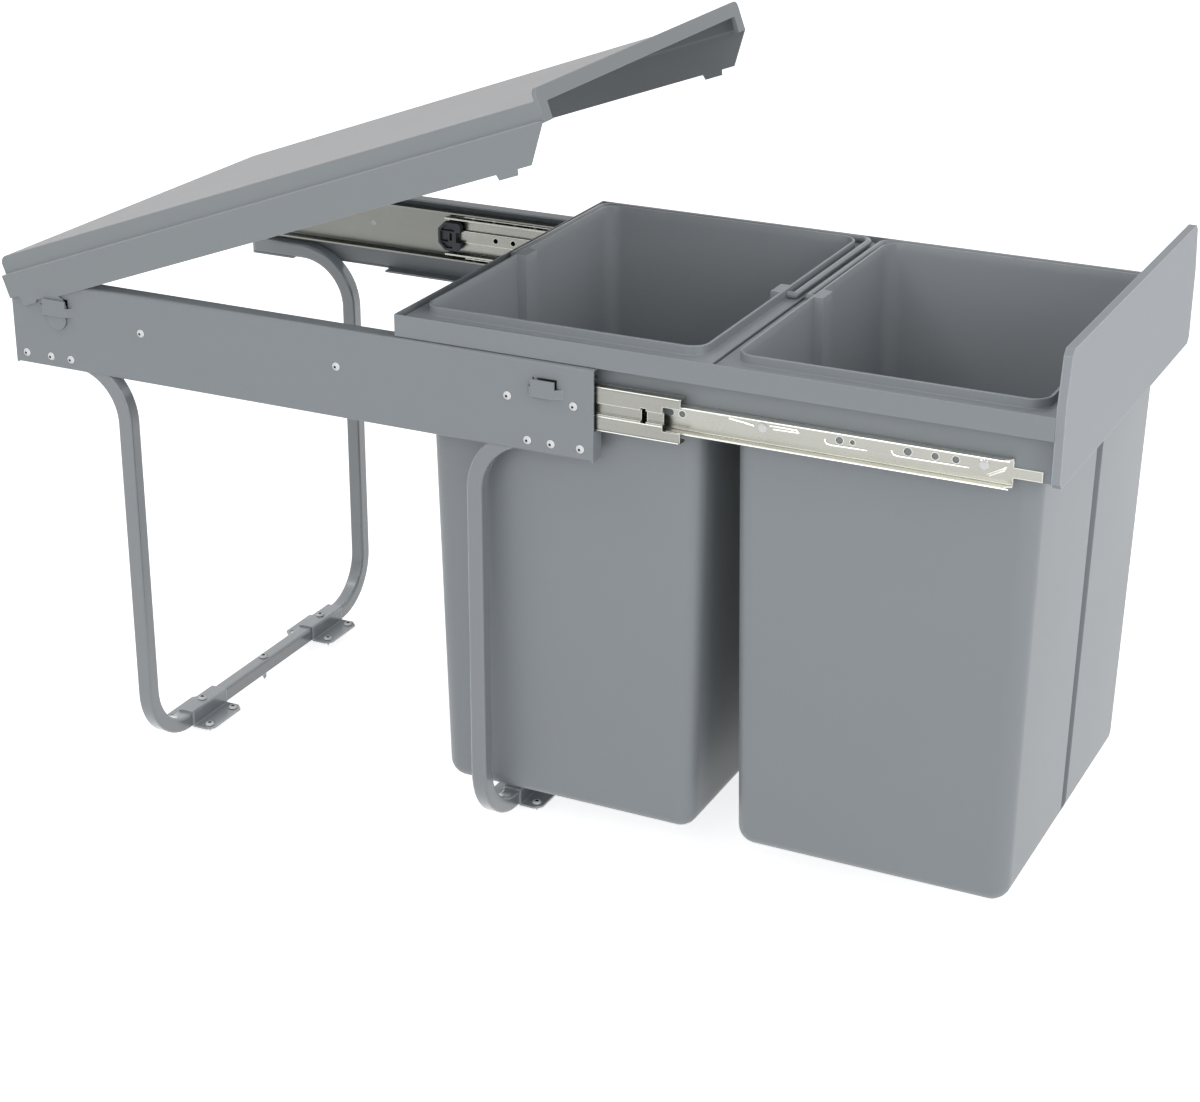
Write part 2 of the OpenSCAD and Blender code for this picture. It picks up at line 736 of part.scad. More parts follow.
left_panel();
right_panel();
rear_leg_frame();
front_leg_frame();
rear_left_foot();
rear_right_foot();
front_left_foot();
front_right_foot();
foot_screws();
floor_screws();
leg_rivets();
slide_rivets();
left_outer_slide();
right_outer_slide();
left_outer_cage();
right_outer_cage();
left_outer_balls();
right_outer_balls();
left_middle_slide();
right_middle_slide();
left_stop();
right_stop();
left_inner_cage();
right_inner_cage();
left_inner_balls();
right_inner_balls();
left_inner_slide();
right_inner_slide();
inner_slide_rivets();
left_rail();
right_rail();
rear_cross_rail();
front_cross_rail();
front_plate();
plate_screws();
rear_bin();
front_bin();
rear_bin_handle();
front_bin_handle();
lid();
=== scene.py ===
"""Pull-out waste bin frame: finishes, detail pieces, studio and camera.

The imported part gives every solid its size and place. This file gives the solids
their finishes, and makes the pieces that a plain solid can't show well.
"""

import json
import math

import bmesh
import bpy
from mathutils import Matrix, Vector


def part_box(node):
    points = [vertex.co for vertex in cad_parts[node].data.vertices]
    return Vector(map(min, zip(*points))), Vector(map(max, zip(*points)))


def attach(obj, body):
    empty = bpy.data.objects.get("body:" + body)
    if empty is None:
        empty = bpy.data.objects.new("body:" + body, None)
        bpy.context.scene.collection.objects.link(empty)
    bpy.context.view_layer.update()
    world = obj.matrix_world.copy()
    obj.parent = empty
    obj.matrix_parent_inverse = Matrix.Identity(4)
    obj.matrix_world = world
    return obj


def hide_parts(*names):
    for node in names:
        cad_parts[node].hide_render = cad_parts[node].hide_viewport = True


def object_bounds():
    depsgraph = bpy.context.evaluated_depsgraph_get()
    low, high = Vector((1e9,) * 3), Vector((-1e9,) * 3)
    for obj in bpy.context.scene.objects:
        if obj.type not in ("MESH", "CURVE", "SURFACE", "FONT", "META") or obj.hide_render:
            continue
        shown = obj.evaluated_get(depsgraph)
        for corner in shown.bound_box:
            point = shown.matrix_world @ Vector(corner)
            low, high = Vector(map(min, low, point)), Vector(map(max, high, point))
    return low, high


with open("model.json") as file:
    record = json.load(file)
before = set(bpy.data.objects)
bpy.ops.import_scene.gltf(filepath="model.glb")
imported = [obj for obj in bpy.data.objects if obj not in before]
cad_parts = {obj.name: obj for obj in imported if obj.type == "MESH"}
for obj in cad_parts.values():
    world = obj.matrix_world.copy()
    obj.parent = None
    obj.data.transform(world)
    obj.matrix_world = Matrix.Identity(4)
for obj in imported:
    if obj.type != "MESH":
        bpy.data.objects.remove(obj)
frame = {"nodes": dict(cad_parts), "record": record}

CAD_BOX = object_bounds()

bl_info = {
    "name": "Pull-out Bin Frame",
    "version": (1, 0, 0),
    "blender": (4, 5, 0),
    "location": "3D View > Sidebar > Bin Frame",
    "description": "Dresses a pull-out waste bin frame and lights it",
    "category": "Object",
}

MM = 0.001

# Fixed frame: the panels' front end, and the middle height of the slides
FRONT_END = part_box("left_panel")[1][0]
SLIDE_Z = (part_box("left_inner_slide")[0][2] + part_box("left_inner_slide")[1][2]) / 2

# Lid: its tilt as drawn; its top and its ledge above the hinge, square to the lid; and
# where its front flange starts, ahead of the hinge and along the lid
LID_TILT = math.radians(20.1)
LID_TOP = 46.15 * MM
LID_LEDGE = 32.85 * MM
LID_FLANGE = 438.2 * MM


def srgb(r, g, b):
    """Linear colour from 0-255 screen values."""
    out = []
    for c in (r / 255, g / 255, b / 255):
        out.append(c / 12.92 if c <= 0.04045 else ((c + 0.055) / 1.055) ** 2.4)
    return tuple(out)


# Settings


def colour_setting(name, text, rgb):
    return bpy.props.FloatVectorProperty(
        name=name, description=text, subtype="COLOR", size=3, min=0, max=1,
        default=srgb(*rgb),
    )


def length_setting(name, text, value, low, high):
    return bpy.props.FloatProperty(
        name=name, description=text, default=value, min=low, max=high,
        unit="LENGTH", precision=5,
    )


def angle_setting(name, text, degrees):
    return bpy.props.FloatProperty(
        name=name, description=text, default=math.radians(degrees), subtype="ANGLE",
        unit="ROTATION",
    )


def strength_setting(name, text, value):
    return bpy.props.FloatProperty(name=name, description=text, default=value, min=0, max=3)


class FinishSettings(bpy.types.PropertyGroup):
    """Colours of the finishes."""

    coat: colour_setting("Powder coat", "Panels, legs, feet and rails", (136, 141, 145))
    # The front plate is the panels' coat, made lighter as painted light on its side-lit face
    plate: colour_setting("Front plate", "Coat of the front plate", (148, 153, 158))
    lid: colour_setting("Lid sides", "Moulded lid below its top", (137, 142, 145))
    # The lid top's lighter colour is partly its grain, partly painted light from above
    lid_top: colour_setting("Lid top", "Grained top of the lid", (162, 164, 167))
    lid_grain: colour_setting("Lid grain", "Streaks in the lid's top", (180, 174, 171))
    bins: colour_setting("Bins", "Moulded bins", (137, 142, 146))
    # The bins' inside is grained; its colour, lighter than the bins', is painted light
    bin_inside: colour_setting("Bin inside", "Grained inside of the bins", (160, 165, 169))
    zinc: colour_setting("Zinc", "Plated middle slide members and cages", (150, 150, 144))
    # Dark and light zinc: the middle members' plating made darker and lighter, painted shade and painted
    # light
    zinc_dark: colour_setting("Dark zinc", "Plated outer slide members", (124, 125, 120))
    zinc_light: colour_setting("Light zinc", "Plated inner slide members", (168, 168, 161))
    # Bright steel is the balls' own polish; on the beads it is a painted highlight
    bright: colour_setting("Bright steel", "Balls and pressed beads", (250, 250, 247))
    head: colour_setting("Plated heads", "Rivets and screws", (205, 206, 207))
    shade: colour_setting("Head shade", "Hollows and rims of the heads", (66, 68, 70))
    black: colour_setting("Black plastic", "Stops in the slides", (38, 40, 48))
    floor: colour_setting("Floor", "Floor and background", (250, 250, 250))


class DetailSettings(bpy.types.PropertyGroup):
    """Sizes of the added detail."""

    bin_wall: length_setting("Bin wall", "Wall of a bin", 1.9 * MM, 1 * MM, 4 * MM)
    groove_depth: length_setting("Groove depth", "Groove in a bin's end wall", 7 * MM, 0, 9 * MM)
    edge_round: length_setting("Edge rounding", "Radius on cut sheet edges", 0.35 * MM, 0, 1 * MM)
    bead_width: length_setting("Bead width", "Beads pressed in the slides", 1.35 * MM, 0.5 * MM, 3 * MM)
    # The edge bead lies along the slides' rolled edges as a near-white painted highlight line
    edge_bead: length_setting("Edge bead", "Rolled edges of the slides", 0.95 * MM, 0.3 * MM, 2 * MM)
    thread_pitch: length_setting("Thread pitch", "Pitch of the wood screws", 1.6 * MM, 1 * MM, 3 * MM)
    coat_grain: length_setting("Coat grain", "Size of the powder coat's dimples", 1.1 * MM, 0.2 * MM, 5 * MM)


class StudioSettings(bpy.types.PropertyGroup):
    """Camera and light."""

    focal: bpy.props.FloatProperty(
        name="Focal length", description="On a 36 mm sensor", default=75.75, min=20,
        max=200, subtype="DISTANCE_CAMERA",
    )
    place: bpy.props.FloatVectorProperty(
        name="Camera place", description="Where the camera stands", size=3,
        default=(0.95198, -1.59793, 0.92146), subtype="TRANSLATION", unit="LENGTH",
    )
    azimuth: angle_setting("Azimuth", "Camera's turn about Z", 25.7)
    elevation: angle_setting("Elevation", "Camera's height above level", 23.04)
    roll: angle_setting("Roll", "Camera's turn about its own axis", -0.27)
    wall_light: strength_setting("Wall light", "Strength of the room's light from the sides", 0.8)
    roof_light: strength_setting("Roof light", "Strength of the room's light from overhead", 0.35)


# Node helpers


def feed(tree, node, values):
    """Sets a node's inputs by name or number; a value that is a socket is linked."""
    for key, value in values.items():
        if isinstance(value, bpy.types.NodeSocket):
            tree.links.new(value, node.inputs[key])
        else:
            node.inputs[key].default_value = value
    return node


def add(tree, kind, values=None, **attributes):
    """A new node with its attributes and its inputs set."""
    node = tree.nodes.new(kind)
    for name, value in attributes.items():
        setattr(node, name, value)
    return feed(tree, node, values or {})


def new_group(name, kind, inputs, outputs):
    """A node group with named sockets: its tree, its input sockets and its output node."""
    tree = bpy.data.node_groups.new(name, kind)
    for label, (socket, default) in inputs.items():
        item = tree.interface.new_socket(label, in_out="INPUT", socket_type=socket)
        if default is not None:
            item.default_value = default
    for label, socket in outputs.items():
        tree.interface.new_socket(label, in_out="OUTPUT", socket_type=socket)
    return tree, tree.nodes.new("NodeGroupInput").outputs, tree.nodes.new("NodeGroupOutput")


def group(name, maker, *values):
    """The node group of that name, made the first time it is asked for."""
    return bpy.data.node_groups.get(name) or maker(name, *values)


def number(default):
    """A group's number input."""
    return "NodeSocketFloat", default


def grey(level):
    """A group's colour input, grey until it is set."""
    return "NodeSocketColor", (level, level, level, 1)


def rgba(colour, gain=1.0):
    """A setting's colour as a socket takes it, made lighter or darker by the gain."""
    return (*(min(1.0, c * gain) for c in colour), 1.0)


def maths(tree, operation, a, b=0.0):
    return add(tree, "ShaderNodeMath", {0: a, 1: b}, operation=operation).outputs[0]


def plus(tree, a, b):
    return maths(tree, "ADD", a, b)


def minus(tree, a, b):
    return maths(tree, "SUBTRACT", a, b)


def times(tree, a, b):
    return maths(tree, "MULTIPLY", a, b)


def remap(tree, value, low, high, to_low=0.0, to_high=1.0):
    """Takes low to to_low and high to to_high, and stops at both."""
    values = {"Value": value, "From Min": low, "From Max": high, "To Min": to_low, "To Max": to_high}
    return add(tree, "ShaderNodeMapRange", values).outputs["Result"]


def mix_colour(tree, factor, a, b):
    """Mixes two colours; a Mix node's colour sockets go by number."""
    return add(tree, "ShaderNodeMix", {0: factor, 6: a, 7: b}, data_type="RGBA").outputs[2]


def scaled(tree, colour, gain):
    """A colour made lighter or darker."""
    return add(tree, "ShaderNodeVectorMath", {0: colour, "Scale": gain}, operation="SCALE").outputs[0]


def noise(tree, place, scale, detail, distortion=0.0):
    values = {"Vector": place, "Scale": scale, "Detail": detail, "Distortion": distortion}
    return add(tree, "ShaderNodeTexNoise", values).outputs["Fac"]


def bumped(tree, height, distance, strength):
    values = {"Height": height, "Distance": distance, "Strength": strength}
    return add(tree, "ShaderNodeBump", values).outputs[0]


def split(tree, vector):
    """The X, Y and Z of a vector."""
    return add(tree, "ShaderNodeSeparateXYZ", {"Vector": vector}).outputs


# Shader groups that several finishes share

SURFACE = {"Colour": "NodeSocketColor", "Roughness": "NodeSocketFloat", "Normal": "NodeSocketVector"}


def surface_speckle(name):
    """Dimples and faint blotches: powder coat's orange peel and moulded plastic's grain."""
    tree, put, out = new_group(
        name, "ShaderNodeTree",
        {"Colour": grey(0.5), "Grain Size": number(1 * MM), "Blotch": number(0.06),
         "Roughness": number(0.5), "Roughness Spread": number(0.08), "Bump": number(0.2)},
        SURFACE,
    )
    place = add(tree, "ShaderNodeTexCoord").outputs["Object"]
    grain = noise(tree, place, scale=maths(tree, "DIVIDE", 1.0, put["Grain Size"]), detail=3.0)
    cloud = noise(tree, place, scale=9.0, detail=4.0)
    both = plus(tree, times(tree, minus(tree, grain, 0.5), 0.7), minus(tree, cloud, 0.5))
    shift = plus(tree, times(tree, both, put["Blotch"]), 1.0)
    feed(tree, out, {
        "Colour": scaled(tree, put["Colour"], shift),
        "Roughness": plus(tree, put["Roughness"], times(tree, both, put["Roughness Spread"])),
        "Normal": bumped(tree, grain, 0.1 * MM, put["Bump"]),
    })
    return tree


def painted_edge_and_top_light(name):
    """Painted light: lightens a colour where the surface faces up, and paints a highlight where it turns
    sharply, or a shade where the edge colour is darker.
    """
    tree, put, out = new_group(
        name, "ShaderNodeTree",
        {"Colour": grey(0.5), "Edge Colour": grey(0.8), "Radius": number(0.6 * MM),
         "Amount": number(0.5), "Top Gain": number(1.0)},
        {"Colour": "NodeSocketColor"},
    )
    soft = add(tree, "ShaderNodeBevel", {"Radius": put["Radius"]}, samples=6).outputs[0]
    flat = add(tree, "ShaderNodeNewGeometry").outputs["Normal"]
    both = add(tree, "ShaderNodeVectorMath", {0: soft, 1: flat}, operation="DOT_PRODUCT")
    # How far the rounded normal leans away, from 8 to 31 degrees: there the edge colour is painted on as a
    # highlight or a shade
    edge = remap(tree, both.outputs["Value"], 0.99, 0.86)
    amount = times(tree, edge, put["Amount"])
    # Painted light from above on up-facing surfaces: from 17 to 53 degrees above level
    lift = remap(tree, split(tree, flat)["Z"], 0.3, 0.8, 1.0, put["Top Gain"])
    lifted = scaled(tree, put["Colour"], lift)
    feed(tree, out, {"Colour": mix_colour(tree, amount, lifted, put["Edge Colour"])})
    return tree


def rolled_streaks(name):
    """Fine lines along X on rolled and plated strip."""
    tree, put, out = new_group(
        name, "ShaderNodeTree",
        {"Colour": grey(0.6), "Dark": grey(0.4), "Amount": number(0.4),
         "Roughness": number(0.35), "Bump": number(0.2)},
        SURFACE,
    )
    place = add(tree, "ShaderNodeTexCoord").outputs["Object"]
    stretch = add(tree, "ShaderNodeMapping", {"Vector": place, "Scale": (6.0, 900.0, 900.0)})
    streak = noise(tree, stretch.outputs[0], scale=1.0, detail=4.0)
    mask = times(tree, streak, noise(tree, place, scale=60.0, detail=3.0))
    amount = times(tree, times(tree, mask, 2.0), put["Amount"])
    feed(tree, out, {
        "Colour": mix_colour(tree, amount, put["Colour"], put["Dark"]),
        "Roughness": plus(tree, put["Roughness"], times(tree, mask, 0.2)),
        "Normal": bumped(tree, streak, 0.04 * MM, put["Bump"]),
    })
    return tree


def lid_surface(name):
    """Grain on the lid's top and ledge, and a plain moulded tone on its sides. The top and ledge
    are lighter than the sides, partly as grain and partly as painted light from above.
    """
    tree, put, out = new_group(
        name, "ShaderNodeTree",
        {"Side": grey(0.3), "Top": grey(0.4), "Grain": grey(0.5), "Tilt": number(0.0),
         "Top Height": number(0.4), "Ledge Height": number(0.39), "Flange": number(0.4)},
        SURFACE,
    )
    slack = 0.5 * MM
    place = add(tree, "ShaderNodeTexCoord").outputs["Object"]
    turn = add(tree, "ShaderNodeCombineXYZ", {"Y": put["Tilt"]}).outputs[0]
    level = add(tree, "ShaderNodeMapping", {"Vector": place, "Rotation": turn}).outputs[0]
    along, _, up = split(tree, level)
    over = maths(tree, "GREATER_THAN", up, minus(tree, put["Top Height"], slack))
    behind = maths(tree, "LESS_THAN", along, put["Flange"])
    top = times(tree, over, behind)
    gap = maths(tree, "ABSOLUTE", minus(tree, up, put["Ledge Height"]))
    ledge = times(tree, maths(tree, "LESS_THAN", gap, slack), behind)
    # Streaks along the lid's length, broken up by fine pores
    stretch = add(tree, "ShaderNodeMapping", {"Vector": level, "Scale": (9.0, 240.0, 30.0)})
    streak = noise(tree, stretch.outputs[0], scale=1.0, detail=5.0, distortion=0.6)
    pore = noise(tree, level, scale=900.0, detail=2.0)
    dotted = times(tree, remap(tree, streak, 0.42, 0.7), plus(tree, pore, 0.35))
    grained = mix_colour(tree, dotted, put["Top"], put["Grain"])
    # The ledge takes most of the top's lighter colour, painted light from above
    lower = mix_colour(tree, times(tree, ledge, 0.8), put["Side"], put["Top"])
    masked = times(tree, top, dotted)
    feed(tree, out, {
        "Colour": mix_colour(tree, top, lower, grained),
        "Roughness": plus(tree, times(tree, masked, 0.12), 0.44),
        "Normal": bumped(tree, plus(tree, masked, times(tree, pore, 0.3)), 0.12 * MM, 0.6),
    })
    return tree


SHADER_GROUPS = {
    "Surface Speckle": surface_speckle,
    "Edge Tint": painted_edge_and_top_light,
    "Rolled Streaks": rolled_streaks,
    "Lid Surface": lid_surface,
}


def use_group(tree, name, values):
    """Places a shader group in a material with the material's own values."""
    return add(tree, "ShaderNodeGroup", values, node_tree=group(name, SHADER_GROUPS[name]))


# Finishes

# Coated and moulded ones start from a colour of the settings. The tone multiplies it on the
# whole; the tube's 0.84 makes a darker copy of the panels' coat, painted shade. The edge
# multiplies it on sharp edges, a painted highlight, and top multiplies it where the surface
# faces up, painted light from above. Radius is how far from an edge the painted highlight
# reaches, and grain is the dimples' size.

COATED = {
    "coat": dict(colour="coat", rough=0.42, dimple=0.25, radius=0.8 * MM, amount=0.7),
    "tube": dict(colour="coat", tone=0.84, edge=2.2, rough=0.24, dimple=0.12, radius=2.2 * MM,
                 amount=0.8, top=1.7, clear=0.85),
    "plate": dict(colour="plate", edge=1.7, rough=0.45, dimple=0.25, radius=1.4 * MM, amount=0.9),
    "bins": dict(colour="bins", edge=1.7, grain=0.9 * MM, rough=0.38, dimple=0.12,
                 radius=1.6 * MM, amount=0.8, top=1.2),
    "bin_inside": dict(colour="bin_inside", edge=1.2, grain=0.7 * MM, rough=0.5, dimple=0.6),
    "rod": dict(colour="coat", grain=2 * MM, rough=0.3, dimple=0.1, clear=0.3),
    "black": dict(colour="black", edge=2.0, grain=1 * MM, rough=0.4, dimple=0.3),
}

# Steel finishes are named as their colours are. The dark and the light zinc are darker and
# lighter copies of the middle members' zinc, painted shade and painted light. Dark multiplies
# the colour in the rolling streaks; edge multiplies it on sharp edges, a painted highlight, or
# painted shade where it is below 1; top multiplies it where the surface faces up, painted light.
STEEL = {
    "zinc": dict(dark=0.7, rough=0.22, streaks=0.25, top=2.2),
    "zinc_dark": dict(dark=0.8, rough=0.26, streaks=0.12, edge=1.6, top=1.8),
    "zinc_light": dict(dark=0.85, rough=0.22, streaks=0.2, top=2.3),
    "bright": dict(dark=0.9, rough=0.12, streaks=0.1, edge=1.0),
    "head": dict(dark=0.8, rough=0.14, streaks=0.15, edge=0.8),
    "shade": dict(dark=1.0, rough=0.4, streaks=0.0, edge=1.0),
}


def new_material(name):
    material = bpy.data.materials.new(name)
    material.use_nodes = True
    return material, material.node_tree, material.node_tree.nodes["Principled BSDF"]


def cover(tree, shader, surface, colour):
    """Gives the shader a colour, and the roughness and normal of a surface group."""
    feed(tree, shader, {"Base Color": colour, "Roughness": surface.outputs["Roughness"],
                        "Normal": surface.outputs["Normal"]})


def coated(name, colour, rough, dimple, grain, tone=1.0, edge=1.5, top=1.0,
           radius=0.6 * MM, amount=0.45, clear=0.0):
    """Painted or moulded surface: speckle, a painted highlight on its edges, painted light on up-facing
    faces, and perhaps a clear coat.
    """
    material, tree, shader = new_material(name)
    painted_light_node = use_group(tree, "Edge Tint", {
        "Colour": rgba(colour, tone), "Edge Colour": rgba(colour, edge), "Radius": radius,
        "Amount": amount, "Top Gain": top})
    speckle = use_group(tree, "Surface Speckle", {
        "Colour": painted_light_node.outputs["Colour"], "Grain Size": grain, "Roughness": rough, "Bump": dimple})
    cover(tree, shader, speckle, speckle.outputs["Colour"])
    if clear:
        feed(tree, shader, {"Coat Weight": clear, "Coat Roughness": 0.2})
    return material


def rolled_steel(name, colour, dark, rough, streaks, edge=2.6, top=1.0):
    """Plated or polished steel: streaks along X, a painted highlight or painted shade on its edges, and
    painted light on up-facing faces.
    """
    material, tree, shader = new_material(name)
    painted_light_node = use_group(tree, "Edge Tint", {
        "Colour": rgba(colour), "Edge Colour": rgba(colour, edge), "Radius": 1.1 * MM,
        "Amount": 0.9, "Top Gain": top})
    rolled = use_group(tree, "Rolled Streaks", {
        "Colour": painted_light_node.outputs["Colour"], "Dark": rgba(colour, dark), "Amount": streaks,
        "Roughness": rough})
    cover(tree, shader, rolled, rolled.outputs["Colour"])
    feed(tree, shader, {"Metallic": 1.0})
    return material


def moulded_lid(name, settings):
    """The lid's own finish; its heights come from the hinge's place."""
    hinge = next(j for j in frame["record"]["behaviour"]["joints"] if j["name"] == "lid_hinge")
    x, _, z = hinge["pos_m"]
    along = x * math.cos(LID_TILT) + z * math.sin(LID_TILT)
    up = z * math.cos(LID_TILT) - x * math.sin(LID_TILT)
    material, tree, shader = new_material(name)
    surface = use_group(tree, "Lid Surface", {
        "Side": rgba(settings.lid), "Top": rgba(settings.lid_top), "Grain": rgba(settings.lid_grain),
        "Tilt": LID_TILT, "Top Height": up + LID_TOP, "Ledge Height": up + LID_LEDGE,
        "Flange": along + LID_FLANGE})
    # Painted highlight on the lid's edges
    painted_light_node = use_group(tree, "Edge Tint", {
        "Colour": surface.outputs["Colour"], "Edge Colour": rgba(settings.lid_top, 1.35),
        "Radius": 0.7 * MM, "Amount": 0.4})
    cover(tree, shader, surface, painted_light_node.outputs["Colour"])
    return material


def finish(key):
    """The material of that finish, built the first time it is asked for."""
    settings = bpy.context.scene.binframe_finish
    name = "binframe " + key
    found = bpy.data.materials.get(name)
    if found:
        return found
    if key == "lid":
        return moulded_lid(name, settings)
    if key in STEEL:
        return rolled_steel(name, getattr(settings, key), **STEEL[key])
    values = {"grain": bpy.context.scene.binframe_detail.coat_grain, **COATED[key]}
    values["colour"] = getattr(settings, values["colour"])
    return coated(name, **values)


def dress(node, key):
    """Gives a CAD node one finish all over."""
    thing = frame["nodes"][node]
    thing.data.materials.clear()
    thing.data.materials.append(finish(key))


def soften(node, width):
    """Rounds a CAD node's sharp edges with modifiers, so that they catch the light."""
    thing = frame["nodes"][node]
    weld = thing.modifiers.new("Weld", "WELD")
    weld.merge_threshold = 0.01 * MM
    flatten = thing.modifiers.new("Flatten", "DECIMATE")
    flatten.decimate_type = "DISSOLVE"
    flatten.angle_limit = math.radians(0.5)
    bevel = thing.modifiers.new("Bevel", "BEVEL")
    bevel.width = width
    bevel.segments = 2
    bevel.limit_method = "ANGLE"
    bevel.angle_limit = math.radians(40)
    bevel.use_clamp_overlap = True
    bevel.harden_normals = True


# Mesh helpers

# Points nearer than this are one point
WELD = 1e-6


def mesh_object(name, verts, faces, material, body):
    """A new piece at the world's origin, riding on a body."""
    mesh = bpy.data.meshes.new(name)
    mesh.from_pydata(verts, [], faces)
    mesh.update()
    thing = bpy.data.objects.new(name, mesh)
    bpy.context.scene.collection.objects.link(thing)
    tidy_normals(mesh)
    mesh.materials.append(material)
    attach(thing, body)
    return thing


def tidy_normals(mesh, angle=32):
    """Merges doubles, points faces outwards and shades smooth up to an angle."""
    work = bmesh.new()
    work.from_mesh(mesh)
    bmesh.ops.remove_doubles(work, verts=work.verts, dist=WELD)
    bmesh.ops.recalc_face_normals(work, faces=work.faces)
    for face in work.faces:
        face.smooth = True
    work.to_mesh(mesh)
    work.free()
    mesh.set_sharp_from_angle(angle=math.radians(angle))


def solids(node):
    """Lowest and highest corner of each separate solid in a CAD node."""
    work = bmesh.new()
    work.from_mesh(frame["nodes"][node].data)
    bmesh.ops.remove_doubles(work, verts=work.verts, dist=WELD)
    left = set(work.verts)
    boxes = []
    while left:
        solid = {left.pop()}
        reached = list(solid)
        while reached:
            vert = reached.pop()
            for edge in vert.link_edges:
                other = edge.other_vert(vert)
                if other in left:
                    left.remove(other)
                    solid.add(other)
                    reached.append(other)
        low = Vector([min(v.co[i] for v in solid) for i in range(3)])
        high = Vector([max(v.co[i] for v in solid) for i in range(3)])
        boxes.append((low, high))
    work.free()
    return sorted(boxes, key=lambda box: tuple(round(c, 6) for c in (*box[0], *box[1])))


def body_with(node):
    """The body that a CAD node rides on."""
    bodies = frame["record"]["behaviour"]["bodies"]
    return next(body for body, nodes in bodies.items() if node in nodes)


# Geometry Nodes: turned pieces, threaded shanks and pressed beads

# Steps along a turned piece's profile
PROFILE_STEPS = 16
# Sides of a turned head
HEAD_SIDES = 24
# Rows of points for each turn of a thread
THREAD_ROWS = 6


def even_curve(tree, value, heights):
    """Reads evenly spaced 0-1 heights, with straight lines between them."""
    node = add(tree, "ShaderNodeFloatCurve", {"Value": value})
    curve = node.mapping.curves[0]
    last = len(heights) - 1
    curve.points[0].location = (0, heights[0])
    curve.points[1].location = (1, heights[last])
    for i in range(1, last):
        curve.points.new(i / last, heights[i])
    for point in curve.points:
        point.handle_type = "VECTOR"
    node.mapping.update()
    return node.outputs[0]


def ring_grid(tree, sides, rows):
    """A grid to be rolled up: its mesh, the turn round the axis and 0-1 along it."""
    grid = add(tree, "GeometryNodeMeshGrid", {
        "Size X": 1.0, "Size Y": 1.0, "Vertices X": plus(tree, sides, 1), "Vertices Y": rows})
    place = split(tree, add(tree, "GeometryNodeInputPosition").outputs[0])
    return grid.outputs["Mesh"], plus(tree, place["X"], 0.5), plus(tree, place["Y"], 0.5)


def roll_up(tree, mesh, turn, radius, height):
    """Rolls the grid round Z at that radius and height, and closes its seam and poles."""
    angle = times(tree, turn, 2 * math.pi)
    point = add(tree, "ShaderNodeCombineXYZ", {
        "X": times(tree, maths(tree, "COSINE", angle), radius),
        "Y": times(tree, maths(tree, "SINE", angle), radius),
        "Z": height})
    moved = add(tree, "GeometryNodeSetPosition", {"Geometry": mesh, "Position": point.outputs[0]})
    merged = add(tree, "GeometryNodeMergeByDistance", {"Geometry": moved.outputs[0], "Distance": 1e-6})
    return merged.outputs[0]


def made_real(tree, geometry, put, out):
    """Ends a tree: instances become mesh, with the tree's material."""
    real = add(tree, "GeometryNodeRealizeInstances", {"Geometry": geometry})
    painted = add(tree, "GeometryNodeSetMaterial", {
        "Geometry": real.outputs[0], "Material": put["Material"]})
    feed(tree, out, {"Geometry": painted.outputs[0]})


def set_out(tree, put, out, piece):
    """Ends a tree with a copy of the piece on every point, turned to face the point's aim."""
    aim = add(tree, "GeometryNodeInputNamedAttribute", {"Name": "aim"}, data_type="FLOAT_VECTOR")
    aimed = next(socket for socket in aim.outputs if socket.enabled and socket.type == "VECTOR")
    face = add(tree, "FunctionNodeAlignRotationToVector", {"Vector": aimed}, axis="Z")
    spin = add(tree, "FunctionNodeRandomValue", {"Seed": 7}, data_type="FLOAT")
    value = next(socket for socket in spin.outputs if socket.enabled)
    spun = add(tree, "FunctionNodeAxisAngleToRotation", {
        "Axis": (0, 0, 1), "Angle": times(tree, value, 2 * math.pi)})
    both = add(tree, "FunctionNodeRotateRotation", {
        "Rotation": face.outputs[0], "Rotate By": spun.outputs[0]}, rotation_space="LOCAL")
    points = add(tree, "GeometryNodeMeshToPoints", {"Mesh": put["Geometry"]})
    copies = add(tree, "GeometryNodeInstanceOnPoints", {
        "Points": points.outputs[0], "Instance": piece, "Rotation": both.outputs[0]})
    made_real(tree, copies.outputs[0], put, out)


def turned_piece(name, profile):
    """Tree that turns a profile of evenly read (radius, height) points round each point's aim."""
    radii = [r for r, _ in profile]
    heights = [z for _, z in profile]
    low, high = min(heights), max(heights)
    tree, put, out = new_group(
        name, "GeometryNodeTree",
        {"Geometry": ("NodeSocketGeometry", None), "Radius": number(max(radii)),
         "Bottom": number(low), "Height": number(high - low),
         "Sides": ("NodeSocketInt", HEAD_SIDES), "Material": ("NodeSocketMaterial", None)},
        {"Geometry": "NodeSocketGeometry"},
    )
    mesh, turn, along = ring_grid(tree, put["Sides"], len(profile))
    wide = even_curve(tree, along, [r / max(radii) for r in radii])
    tall = even_curve(tree, along, [(z - low) / (high - low) for z in heights])
    height = plus(tree, times(tree, tall, put["Height"]), put["Bottom"])
    set_out(tree, put, out, roll_up(tree, mesh, turn, times(tree, wide, put["Radius"]), height))
    return tree


